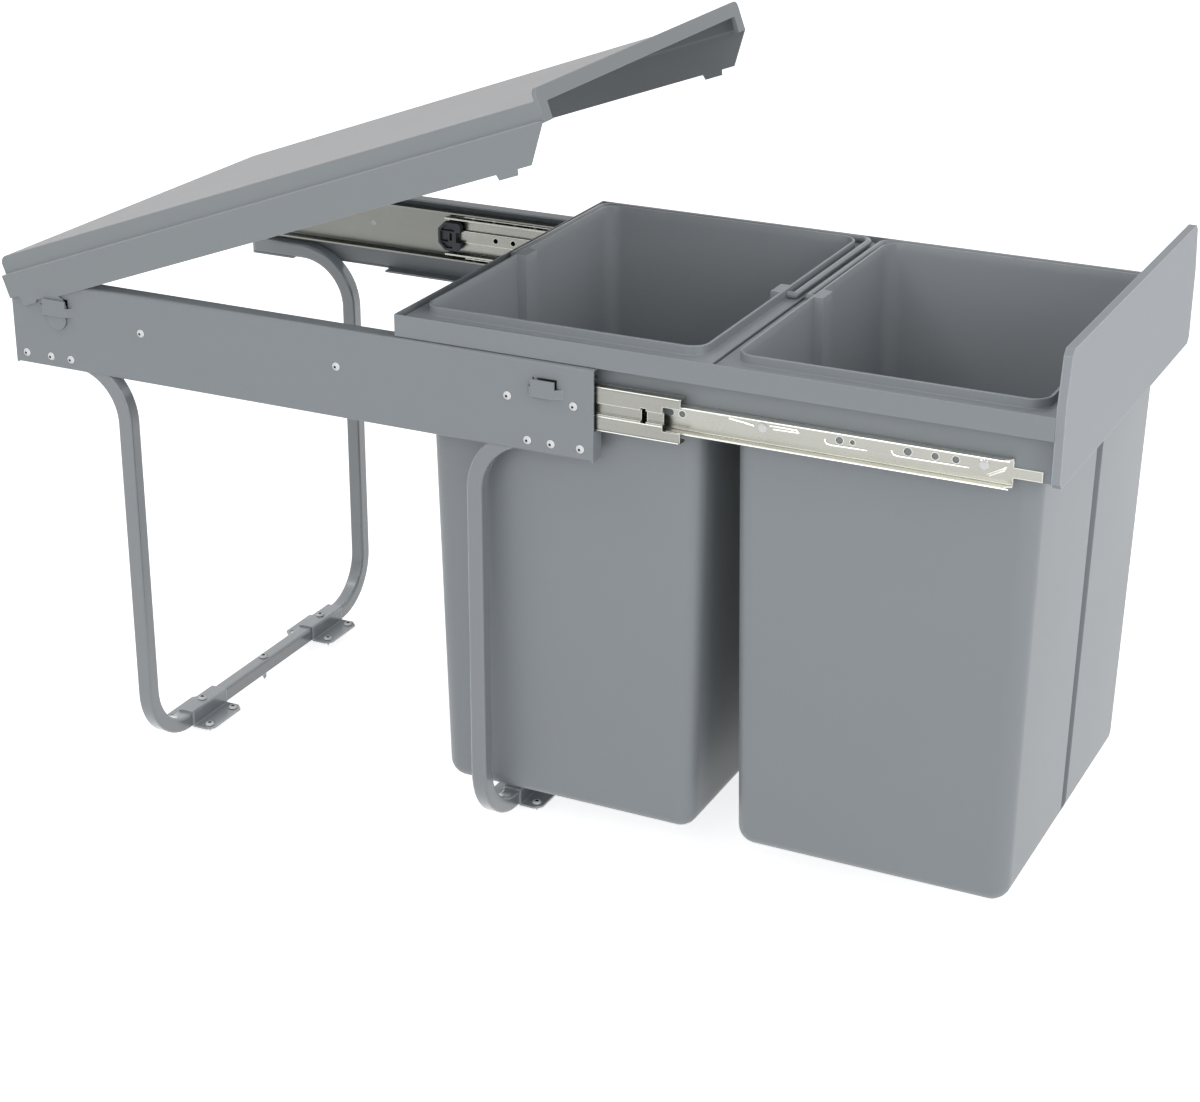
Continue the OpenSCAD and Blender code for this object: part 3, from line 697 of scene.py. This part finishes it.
def threaded_shank(name):
    """Tree for a pointed wood-screw thread that hangs down from each point."""
    tree, put, out = new_group(
        name, "GeometryNodeTree",
        {"Geometry": ("NodeSocketGeometry", None), "Length": number(10 * MM),
         "Core Radius": number(1.35 * MM), "Crest Radius": number(1.9 * MM),
         "Pitch": number(1.6 * MM), "Tip Length": number(3 * MM),
         "Sides": ("NodeSocketInt", 14), "Rows": ("NodeSocketInt", 40),
         "Material": ("NodeSocketMaterial", None)},
        {"Geometry": "NodeSocketGeometry"},
    )
    mesh, turn, along = ring_grid(tree, put["Sides"], put["Rows"])
    down = times(tree, along, put["Length"])
    phase = plus(tree, maths(tree, "DIVIDE", down, put["Pitch"]), turn)
    saw = times(tree, maths(tree, "PINGPONG", phase, 0.5), 2)
    ridge = times(tree, saw, minus(tree, put["Crest Radius"], put["Core Radius"]))
    full = plus(tree, put["Core Radius"], ridge)
    to_tip = maths(tree, "DIVIDE", minus(tree, put["Length"], down), put["Tip Length"])
    tapered = times(tree, full, maths(tree, "MINIMUM", to_tip, 1.0))
    closed = times(tree, tapered, maths(tree, "GREATER_THAN", along, 1e-4))
    set_out(tree, put, out, roll_up(tree, mesh, turn, closed, times(tree, down, -1.0)))
    return tree


def pressed_bead(name):
    """Tree that lays a round bead along each line of a mesh."""
    tree, put, out = new_group(
        name, "GeometryNodeTree",
        {"Geometry": ("NodeSocketGeometry", None), "Width": number(1 * MM),
         "Sides": ("NodeSocketInt", 8), "Material": ("NodeSocketMaterial", None)},
        {"Geometry": "NodeSocketGeometry"},
    )
    line = add(tree, "GeometryNodeMeshToCurve", {"Mesh": put["Geometry"]})
    ring = add(tree, "GeometryNodeCurvePrimitiveCircle", {
        "Resolution": put["Sides"], "Radius": times(tree, put["Width"], 0.5)})
    bead = add(tree, "GeometryNodeCurveToMesh", {
        "Curve": line.outputs[0], "Profile Curve": ring.outputs[0], "Fill Caps": True})
    made_real(tree, bead.outputs[0], put, out)
    return tree


def grow(tree, verts, edges, aims, values):
    """Runs a tree on a small mesh and returns the result as a plain mesh."""
    seed = bpy.data.meshes.new("seed")
    seed.from_pydata(verts, edges, [])
    layer = seed.attributes.new("aim", "FLOAT_VECTOR", "POINT")
    for item, aim in zip(layer.data, aims):
        item.vector = aim
    thing = bpy.data.objects.new("seed", seed)
    bpy.context.scene.collection.objects.link(thing)
    modifier = thing.modifiers.new("Grow", "NODES")
    modifier.node_group = tree
    for item in tree.interface.items_tree:
        if item.item_type == "SOCKET" and item.in_out == "INPUT" and item.name in values:
            modifier[item.identifier] = values[item.name]
    bpy.context.view_layer.update()
    depsgraph = bpy.context.evaluated_depsgraph_get()
    mesh = bpy.data.meshes.new_from_object(thing.evaluated_get(depsgraph), depsgraph=depsgraph)
    bpy.data.objects.remove(thing)
    bpy.data.meshes.remove(seed)
    if not mesh.polygons:
        raise RuntimeError(f"{tree.name} made no faces")
    return mesh


def joined(name, meshes, body, angle=32):
    """One piece from several plain meshes, riding on a body."""
    work = bmesh.new()
    for mesh in meshes:
        work.from_mesh(mesh)
    result = bpy.data.meshes.new(name)
    work.to_mesh(result)
    work.free()
    for face in result.polygons:
        face.material_index = 0
    result.materials.append(meshes[0].materials[0])
    thing = bpy.data.objects.new(name, result)
    bpy.context.scene.collection.objects.link(thing)
    tidy_normals(result, angle)
    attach(thing, body)
    return thing


# Profiles of turned pieces in millimetres: (radius, height) from the top's middle down


def padded_profile(points):
    """The points in metres, with the last repeated up to the profile's steps."""
    points = points + [points[-1]] * (PROFILE_STEPS + 1 - len(points))
    return [(r * MM, z * MM) for r, z in points]


def rivet_profile(grip):
    """Blind rivet: a hollow with the pin's stub, a domed head and a plain shank."""
    ball = 3.75
    head = -1.85
    dome = [(ball * math.sin(a), ball * (math.cos(a) - 1))
            for a in (math.radians(16 + 10 * i) for i in range(5))]
    hollow = [(0, -0.75), (0.55, -0.75), (0.65, -1.5), (0.95, -1.5), (0.95, -0.2)]
    shank = [(3.3, head + 0.1), (3.3, head), (2, head), (2, head - grip), (0, head - grip)]
    return padded_profile(hollow + dome + shank)


def pan_head_profile():
    """Pan head with a dished recess."""
    return padded_profile([
        (0, -1.1), (0.8, -1.1), (1.35, -0.75), (1.45, -0.1), (1.7, 0), (2.3, -0.06), (2.9, -0.45),
        (3.3, -0.95), (3.45, -1.3), (3.5, -1.7), (3.5, -2.1), (1.4, -2.1), (1.4, -2.2), (0, -2.2)])


def slide_rivet_profile():
    """Flat-headed rivet with a turned-over tail."""
    return padded_profile([
        (0, 0), (2.2, 0), (2.9, -0.1), (3.3, -0.35), (3.4, -0.8), (2, -0.8), (2, -3.2),
        (2.8, -3.2), (2.75, -3.8), (2.2, -4.15), (0.9, -4.2), (0.9, -3.6), (0, -3.6)])


def stud_profile():
    """Low-headed machine screw behind the front plate."""
    return padded_profile([
        (0, -0.9), (1.3, -0.9), (1.5, 0), (2.4, 0), (3.1, -0.35), (3.5, -1), (3.5, -1.8),
        (2, -1.8), (2, -5.8), (0, -5.8)])


def ball_profile(diameter):
    """Half a circle, in metres as its diameter is."""
    turns = [math.pi * i / PROFILE_STEPS for i in range(PROFILE_STEPS + 1)]
    return [(diameter / 2 * math.sin(a), diameter / 2 * math.cos(a)) for a in turns]


# Bins

# Height of the bins' underside
BIN_UNDERSIDE = 25.5 * MM
# Half the size along X and Y: of the underside, and of the opening
BIN_FOOT = (100.4 * MM, 139.4 * MM)
BIN_MOUTH = (103.75 * MM, 145.5 * MM)
# Radius of the upright edges, and of the rounded lower edge
BIN_CORNER = 14 * MM
# Heights above the underside: the rim's lower edge, where the grooves start to close and
# where they are closed, and the rim's top
BIN_SKIRT = 352.15 * MM
BIN_GROOVE_TOP = 357.5 * MM
BIN_GROOVE_END = 358.1 * MM
BIN_RIM_TOP = 363.5 * MM
# The rim: radius of its upright edges outside and inside, and rounding above and below
RIM_CORNER = 10 * MM
RIM_HOLLOW = 8 * MM
RIM_ROUND = 1 * MM
RIM_EASE = 0.3 * MM
# The raised lip in millimetres: (out from the opening, up from the rim's top); how far its
# upright face lies out; and its inside: (out from the opening, down from the lip's top)
BIN_LIP = ((2.9, 0.0), (2.35, 0.2), (2.05, 0.8), (2.0, 6.0), (1.85, 6.35), (1.55, 6.5), (0.45, 6.5))
LIP_FACE = 2.0
LIP_INSIDE = ((0.45, 0.0), (0.15, 0.15), (0.0, 0.45), (0.0, 7.5))
# Half the width of a groove at its lower and its upper end, and how far each side leans
GROOVE_LOW = 6.5 * MM
GROOVE_HIGH = 8.8 * MM
GROOVE_LEAN = 2.2 * MM
# The same lean of the rib that the groove makes inside the bin
RIB_LEAN = 0.6 * MM
# Steps round an upright edge and up the rounded lower one, whose loops keep this radius
CORNER_STEPS = 8
BOWL_STEPS = 6
LEAST_CORNER = 0.5 * MM


def bin_ring(half, out, radius, z, groove=0.0, wide=6 * MM, lean=GROOVE_LEAN):
    """One loop of a bin: a rounded rectangle with a groove's points in each end wall."""
    half_x, half_y = half[0] + out, half[1] + out
    deep, narrow = half_x - groove, wide - lean
    loop = []
    for sx, sy, start in ((1, 1, 0), (-1, 1, 90), (-1, -1, 180), (1, -1, 270)):
        if start in (0, 180):
            for x, y in ((half_x, -wide), (deep, -narrow), (deep, narrow), (half_x, wide)):
                loop.append((sx * x, sx * y, z))
        for i in range(CORNER_STEPS + 1):
            a = math.radians(start + 90 * i / CORNER_STEPS)
            x = sx * (half_x - radius) + radius * math.cos(a)
            y = sy * (half_y - radius) + radius * math.sin(a)
            loop.append((x, y, z))
    return loop


def bin_bowl(detail, inward, wide, lean):
    """Loops of the rounded lower edge, from its middle outwards; the groove runs out in it."""
    loops = []
    r = BIN_CORNER - inward
    for i in range(BOWL_STEPS + 1):
        a = math.radians(90 * i / BOWL_STEPS)
        groove = detail.groove_depth if i > BOWL_STEPS - 2 else 0
        loops.append(bin_ring(
            BIN_FOOT, -inward - r * (1 - math.sin(a)), max(r * math.sin(a), LEAST_CORNER),
            inward + r * (1 - math.cos(a)), groove, wide, lean))
    return loops


def bin_rings(detail, rim):
    """Loops from the middle of the underside, over the rim and down to the inner floor,
    and the number of the first loop of the inside."""
    wall, groove = detail.bin_wall, detail.groove_depth
    under_rim = BIN_RIM_TOP - wall

    def body(z):
        """Half the body's size at that height."""
        k = (z - BIN_CORNER) / (BIN_RIM_TOP - BIN_CORNER)
        return [f + (m + wall - f) * k for f, m in zip(BIN_FOOT, BIN_MOUTH)]

    rings = bin_bowl(detail, 0.0, GROOVE_LOW, GROOVE_LEAN)
    for z, depth in ((BIN_GROOVE_TOP, groove), (BIN_GROOVE_END, 0), (under_rim, 0)):
        rings.append(bin_ring(body(z), 0, BIN_CORNER, z, depth, GROOVE_HIGH))
    for z in (under_rim, BIN_SKIRT):
        rings.append(bin_ring(rim, -wall, RIM_HOLLOW, z))
    rings.append(bin_ring(rim, -RIM_EASE, RIM_CORNER - RIM_EASE, BIN_SKIRT))
    rings.append(bin_ring(rim, 0, RIM_CORNER, BIN_SKIRT + RIM_EASE))
    for i in range(4):
        a = math.radians(30 * i)
        inward = RIM_ROUND * (1 - math.cos(a))
        z = BIN_RIM_TOP - RIM_ROUND * (1 - math.sin(a))
        rings.append(bin_ring(rim, -inward, RIM_CORNER - inward, z))
    for out, up in BIN_LIP:
        corner = BIN_CORNER + (out - LIP_FACE) * MM
        rings.append(bin_ring(BIN_MOUTH, out * MM, corner, BIN_RIM_TOP + up * MM))
    first_inside = len(rings) + 2
    for out, down in LIP_INSIDE:
        z = BIN_RIM_TOP + (BIN_LIP[-1][1] - down) * MM
        rings.append(bin_ring(
            BIN_MOUTH, out * MM, BIN_CORNER - wall, z, groove, GROOVE_HIGH + MM, RIB_LEAN))
    return rings + bin_bowl(detail, wall, GROOVE_LOW + MM, RIB_LEAN)[::-1], first_inside


def build_bin(name, node, body):
    """One lofted shell in the place of a CAD bin."""
    low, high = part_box(node)
    middle = (low[0] + high[0]) / 2
    rim = ((high[0] - low[0]) / 2, (high[1] - low[1]) / 2)
    rings, first_inside = bin_rings(bpy.context.scene.binframe_detail, rim)
    count = len(rings[0])
    verts = [(x + middle, y, z + BIN_UNDERSIDE) for ring in rings for x, y, z in ring]
    faces = [tuple(range(count))[::-1]]
    for k in range(len(rings) - 1):
        for i in range(count):
            j = (i + 1) % count
            faces.append((k * count + i, k * count + j, (k + 1) * count + j, (k + 1) * count + i))
    last = (len(rings) - 1) * count
    faces.append(tuple(range(last, last + count)))
    thing = mesh_object(name, verts, faces, finish("bins"), body)
    # The inside faces take the lighter inside finish, painted light
    thing.data.materials.append(finish("bin_inside"))
    for face in thing.data.polygons[1 + first_inside * count:]:
        face.material_index = 1
    return thing


# Beads of the slides, in millimetres; all are near-white steel, a painted highlight

# Pressed in the inner members' webs: (ahead of the panels' front end, above the slide's
# centre), and how far the webs lie from the middle plane
BEADS = {
    "upper_left": [(84.7, 6.5), (98, 6.9), (112.5, 6.9)],
    "lower_left": [(93, 5.0), (104, 3.9), (110.9, 2.8)],
    "upper_right": [(122, 4.6), (140.7, 4.6), (142.5, 2.8)],
    "lower_right": [(124.4, 2.5), (142.5, 2.8)],
    "rear_hook": [(160.5, 2.1), (160.7, 0.4), (162, -1.0), (165, -1.7), (189.8, -1.3)],
    "front_hook": [(206, 1.8), (206.5, 0.4), (208, -1.0), (211, -1.6), (258, -1.3)],
    "arrow_upper": [(270.2, -3.6), (280.2, 1.9), (282.2, 3.5)],
    "arrow_lower": [(271.5, -4.6), (280.9, 0.6), (282.2, 3.5)],
    "star_tall": [(267.7, 6.6), (267.7, 2.0)],
    "star_rise": [(265.3, 3.4), (270.1, 5.4)],
    "star_fall": [(265.3, 5.4), (270.1, 3.2)],
}
INNER_WEB = 154.5

# Painted highlight lines: near-white beads along the strips' rolled edges and the middle
# members' groove; how far they lie from the middle plane, and their lines
INNER_HIGHLIGHT_BEADS = (160.7, {"top": [(-115, 9.3), (286, 9.3)], "low": [(-115, -9.3), (286, -9.3)]})
MIDDLE_HIGHLIGHT_BEADS = (163.6, {
    "top": [(-286, 15.2), (61, 15.2)], "low": [(-286, -15.3), (61, -15.3)],
    "groove_low": [(-286, -5.4), (48.5, -5.4)],
})


def bead_lines(side, width, plane, lines, key):
    """Round beads of that width along lines in an upright plane on one side, as a plain mesh."""
    sign = -1 if side == "right" else 1
    verts, edges = [], []
    for line in lines.values():
        for i, (x, h) in enumerate(line):
            if i:
                edges.append((len(verts) - 1, len(verts)))
            verts.append((FRONT_END + x * MM, sign * plane * MM, SLIDE_Z + h * MM))
    tree = group("Pressed Bead", pressed_bead)
    return grow(tree, verts, edges, [], {"Width": width, "Material": finish(key)})


# Operators

UP = (0, 0, 1)
# Grip of the blind rivets in millimetres
RIVET_GRIPS = {"leg_rivets": 3.7, "slide_rivets": 2.7}
# Faces of a head that are shaded: nearer to its axis than the first, or past the second
RIVET_SHADE = (0.98 * MM, 2.9 * MM)
SCREW_SHADE = (1.42 * MM, 3.46 * MM)
# How deep below a head's top its faces are shaded
HEAD_DEPTH = 2.2 * MM
# Height of a pan head
PAN_HEIGHT = 2.1 * MM


class BINFRAME_OT_sheet_parts(bpy.types.Operator):
    """Powder coat and eased edges on the panels, legs, feet and rails"""

    bl_idname = "binframe.sheet_parts"
    bl_label = "Panels, Legs and Rails"

    def execute(self, context):
        edge = context.scene.binframe_detail.edge_round
        for node in ("left_panel", "right_panel", "left_rail", "right_rail",
                     "rear_cross_rail", "front_cross_rail"):
            dress(node, "coat")
            soften(node, edge)
        for node in ("rear_left_foot", "rear_right_foot", "front_left_foot", "front_right_foot"):
            dress(node, "tube")
            soften(node, edge)
        for node in ("rear_leg_frame", "front_leg_frame"):
            dress(node, "tube")
        dress("front_plate", "plate")
        soften("front_plate", 2 * edge)
        return {"FINISHED"}


class BINFRAME_OT_slides(bpy.types.Operator):
    """Plated strip on the slide members and cages, black stops, balls, and pressed and rolled-edge beads in
    near-white steel as painted highlight lines
    """

    bl_idname = "binframe.slides"
    bl_label = "Slides"

    def execute(self, context):
        for side in ("left", "right"):
            for part in ("middle_slide", "outer_cage", "inner_cage"):
                dress(f"{side}_{part}", "zinc")
            dress(f"{side}_inner_slide", "zinc_light")
            dress(f"{side}_outer_slide", "zinc_dark")
            for part in ("outer", "inner"):
                self.balls(f"{side}_{part}_balls")
            dress(f"{side}_stop", "black")
            soften(f"{side}_stop", 0.4 * MM)
            self.beads(side, context.scene.binframe_detail)
        return {"FINISHED"}

    def beads(self, side, detail):
        """Pressed beads and near-white lines along the rolled edges of one side's inner and middle members,
        all painted highlight lines.
        """
        inner_y, inner_lines = INNER_HIGHLIGHT_BEADS
        middle_y, middle_lines = MIDDLE_HIGHLIGHT_BEADS
        pressed = bead_lines(side, detail.bead_width, INNER_WEB, BEADS, "bright")
        inner = bead_lines(side, detail.edge_bead, inner_y, inner_lines, "bright")
        middle = bead_lines(side, detail.edge_bead, middle_y, middle_lines, "bright")
        joined(f"{side}_inner_slide_beads", [pressed, inner], "drawer")
        joined(f"{side}_middle_slide_beads", [middle], f"{side}_middle_member")

    def balls(self, node):
        """One row of balls from the turned-piece tree."""
        boxes = solids(node)
        low, high = boxes[0]
        name = f"Bearing Ball {node.split('_')[1].title()}"
        tree = group(name, turned_piece, ball_profile(high.z - low.z))
        centres = [(a + b) / 2 for a, b in boxes]
        mesh = grow(tree, centres, [], [UP] * len(centres), {
            "Sides": PROFILE_STEPS, "Material": finish("bright")})
        row = joined(f"{node}_round", [mesh], body_with(node), angle=60)
        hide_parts(node)


class BINFRAME_OT_fasteners(bpy.types.Operator):
    """Blind rivets, wood screws, slide rivets and plate screws"""

    bl_idname = "binframe.fasteners"
    bl_label = "Rivets and Screws"

    def execute(self, context):
        for node, grip in RIVET_GRIPS.items():
            name = f"Blind Rivet {node.split('_')[0].title()}"
            tree = group(name, turned_piece, rivet_profile(grip))
            self.place(node, [self.sideways(tree, node, "head")], self.heads(node), RIVET_SHADE)
        node = "inner_slide_rivets"
        tree = group("Slide Rivet", turned_piece, slide_rivet_profile())
        self.place(node, [self.sideways(tree, node, "zinc_light")])
        self.place("plate_screws", [self.backwards("plate_screws")])
        for node in ("foot_screws", "floor_screws"):
            tops = [(top, UP) for top in self.tops(node)]
            self.place(node, self.screws(context, node), tops, SCREW_SHADE)
        return {"FINISHED"}

    def place(self, node, meshes, heads=(), shaded=(0, 0)):
        """Joins one node's pieces, and shades the hollow and the rim of each (point, aim) head."""
        hollow, rim = shaded
        piece = joined(f"{node}_turned", meshes, body_with(node))
        piece.data.materials.append(finish("shade"))
        for face in piece.data.polygons:
            for point, aim in heads:
                offset = face.center - Vector(point)
                along = offset.dot(Vector(aim))
                out = (offset - Vector(aim) * along).length
                if abs(along) < HEAD_DEPTH and out < rim + MM:
                    face.material_index = int(out < hollow or out > rim)
        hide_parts(node)

    def heads(self, node):
        """The outermost point and the aim of each solid's head, along Y."""
        found = []
        for low, high in solids(node):
            side = 1 if low.y + high.y > 0 else -1
            outer = max(abs(low.y), abs(high.y)) * side
            found.append((((low.x + high.x) / 2, outer, (low.z + high.z) / 2), (0, side, 0)))
        return found

    def tops(self, node):
        """The middle of each solid's top."""
        return [((low.x + high.x) / 2, (low.y + high.y) / 2, high.z) for low, high in solids(node)]

    def sideways(self, tree, node, key):
        """Heads at each solid's outer side, along Y."""
        points, aims = zip(*self.heads(node))
        return grow(tree, points, [], aims, {"Material": finish(key)})

    def backwards(self, node):
        """Heads behind the front cross rail, along X."""
        points = [(low.x, (low.y + high.y) / 2, (low.z + high.z) / 2) for low, high in solids(node)]
        tree = group("Plate Screw", turned_piece, stud_profile())
        return grow(tree, points, [], [(-1, 0, 0)] * len(points), {"Material": finish("head")})

    def screws(self, context, node):
        """Pan heads and threads of one node; screws of one length share a run."""
        steel = finish("head")
        pitch = context.scene.binframe_detail.thread_pitch
        tops = self.tops(node)
        pan = group("Pan Head", turned_piece, pan_head_profile())
        thread = group("Threaded Shank", threaded_shank)
        meshes = [grow(pan, tops, [], [UP] * len(tops), {"Material": steel})]
        lengths = {}
        for low, high in solids(node):
            lengths.setdefault(round(high.z - low.z - PAN_HEIGHT, 5), []).append((low, high))
        for length, boxes in lengths.items():
            necks = [((a.x + b.x) / 2, (a.y + b.y) / 2, b.z - PAN_HEIGHT) for a, b in boxes]
            rows = int(length / pitch * THREAD_ROWS) + 2
            meshes.append(grow(thread, necks, [], [UP] * len(necks), {
                "Length": length, "Pitch": pitch, "Rows": rows, "Material": steel}))
        return meshes


class BINFRAME_OT_bins(bpy.types.Operator):
    """Moulded bins and their bent rod handles"""

    bl_idname = "binframe.bins"
    bl_label = "Bins and Handles"

    def execute(self, context):
        for which in ("rear", "front"):
            shell = build_bin(f"{which}_bin_shell", f"{which}_bin", f"{which}_container")
            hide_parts(f"{which}_bin")
            dress(f"{which}_bin_handle", "rod")
        return {"FINISHED"}


class BINFRAME_OT_lid(bpy.types.Operator):
    """Moulded lid with a grained top"""

    bl_idname = "binframe.lid"
    bl_label = "Lid"

    def execute(self, context):
        dress("lid", "lid")
        soften("lid", 1.2 * context.scene.binframe_detail.edge_round)
        return {"FINISHED"}


# Area lamps: place, target, width and power
LAMPS = {
    "Key lamp": ((2.6, -1.0, 1.2), (0.15, 0, 0.2), 1.6, 16),
    "Fill lamp": ((0.3, -2.8, 1.5), (0.2, 0, 0.3), 1.8, 14),
    "Edge lamp": ((-1.1, -1.0, 2.4), (0.1, 0, 0.3), 0.7, 8),
}
# Half the floor's width, how far it lies below the lowest screw point, and how much it
# glows to the camera
FLOOR_HALF = 12.0
FLOOR_DROP = 0.2 * MM
FLOOR_GLOW = 0.75


def seen_rays(tree):
    """1 for rays from the camera, and for those it sees by reflection or through glass."""
    path = add(tree, "ShaderNodeLightPath")
    either = maths(tree, "MAXIMUM", path.outputs["Is Camera Ray"], path.outputs["Is Glossy Ray"])
    return maths(tree, "MAXIMUM", either, path.outputs["Is Transmission Ray"])


class BINFRAME_OT_stage(bpy.types.Operator):
    """Floor, lamps, room light and camera"""

    bl_idname = "binframe.stage"
    bl_label = "Studio"

    def execute(self, context):
        scene = context.scene
        studio = scene.binframe_studio
        scene.view_settings.view_transform = "Standard"
        self.floor(scene)
        self.room(scene, studio)
        for name, values in LAMPS.items():
            self.lamp(scene, name, *values)
        self.camera(scene, studio)
        return {"FINISHED"}

    def floor(self, scene):
        """A plain floor that keeps the object's shadow."""
        mesh = bpy.data.meshes.new("floor")
        z = CAD_BOX[0][2] - FLOOR_DROP
        corners = [(x * FLOOR_HALF, y * FLOOR_HALF, z) for x, y in ((-1, -1), (1, -1), (1, 1), (-1, 1))]
        mesh.from_pydata(corners, [], [(0, 1, 2, 3)])
        plane = bpy.data.objects.new("floor", mesh)
        scene.collection.objects.link(plane)
        material, tree, shader = new_material("binframe floor")
        feed(tree, shader, {
            "Base Color": rgba(scene.binframe_finish.floor), "Roughness": 0.9,
            "Emission Color": (1, 1, 1, 1),
            "Emission Strength": times(tree, seen_rays(tree), FLOOR_GLOW)})
        mesh.materials.append(material)

    def room(self, scene, studio):
        """A room that lights from its sides more than from overhead, and is seen as white."""
        world = bpy.data.worlds.new("Room")
        scene.world = world
        world.use_nodes = True
        tree = world.node_tree
        tree.nodes.clear()
        direction = add(tree, "ShaderNodeTexCoord").outputs["Generated"]
        height = split(tree, direction)["Z"]
        level = remap(tree, height, 0.15, 0.9, studio.wall_light, studio.roof_light)
        light = add(tree, "ShaderNodeBackground", {"Color": (0.97, 0.985, 1.0, 1), "Strength": level})
        seen = add(tree, "ShaderNodeBackground", {"Color": (1, 1, 1, 1), "Strength": 1.0})
        mixer = add(tree, "ShaderNodeMixShader", {
            0: seen_rays(tree), 1: light.outputs[0], 2: seen.outputs[0]})
        add(tree, "ShaderNodeOutputWorld", {"Surface": mixer.outputs[0]})

    def lamp(self, scene, name, place, target, size, power):
        lamp = bpy.data.lights.new(name, "AREA")
        lamp.size = size
        lamp.energy = power
        thing = bpy.data.objects.new(name, lamp)
        thing.location = place
        aim = Vector(target) - Vector(place)
        thing.rotation_euler = aim.to_track_quat("-Z", "Y").to_euler()
        scene.collection.objects.link(thing)

    def camera(self, scene, studio):
        lens = bpy.data.cameras.new("Camera")
        lens.lens = studio.focal
        lens.sensor_width = 36
        lens.clip_end = 60
        thing = bpy.data.objects.new("Camera", lens)
        a, e, r = studio.azimuth, studio.elevation, studio.roll
        ahead = Vector((-math.sin(a) * math.cos(e), math.cos(a) * math.cos(e), -math.sin(e)))
        right = Vector((math.cos(a), math.sin(a), 0))
        down = ahead.cross(right)
        rolled = right * math.cos(r) + down * math.sin(r)
        rolled_down = down * math.cos(r) - right * math.sin(r)
        matrix = Matrix((rolled, -rolled_down, -ahead)).transposed().to_4x4()
        matrix.translation = studio.place
        thing.matrix_world = matrix
        scene.collection.objects.link(thing)
        scene.camera = thing


# The panel, and the add-on's own steps


class BINFRAME_PT_panel(bpy.types.Panel):
    """The part's settings and steps"""

    bl_idname = "BINFRAME_PT_panel"
    bl_label = "Bin Frame"
    bl_space_type = "VIEW_3D"
    bl_region_type = "UI"
    bl_category = "Bin Frame"

    def draw(self, context):
        layout = self.layout
        for key in SETTINGS:
            settings = getattr(context.scene, key)
            box = layout.box()
            for name in settings.__annotations__:
                box.prop(settings, name)
        for step in STEPS:
            layout.operator(step.bl_idname)


STEPS = (
    BINFRAME_OT_sheet_parts,
    BINFRAME_OT_slides,
    BINFRAME_OT_fasteners,
    BINFRAME_OT_bins,
    BINFRAME_OT_lid,
    BINFRAME_OT_stage,
)
SETTINGS = {
    "binframe_finish": FinishSettings,
    "binframe_detail": DetailSettings,
    "binframe_studio": StudioSettings,
}


def register():
    for kind in (*SETTINGS.values(), *STEPS, BINFRAME_PT_panel):
        bpy.utils.register_class(kind)
    for name, kind in SETTINGS.items():
        setattr(bpy.types.Scene, name, bpy.props.PointerProperty(type=kind))


def unregister():
    for name in SETTINGS:
        delattr(bpy.types.Scene, name)
    for kind in (BINFRAME_PT_panel, *reversed(STEPS), *reversed(SETTINGS.values())):
        bpy.utils.unregister_class(kind)


def main():
    register()
    for step in STEPS:
        getattr(bpy.ops.binframe, step.bl_idname.split(".")[1])()


if __name__ == "__main__":
    main()
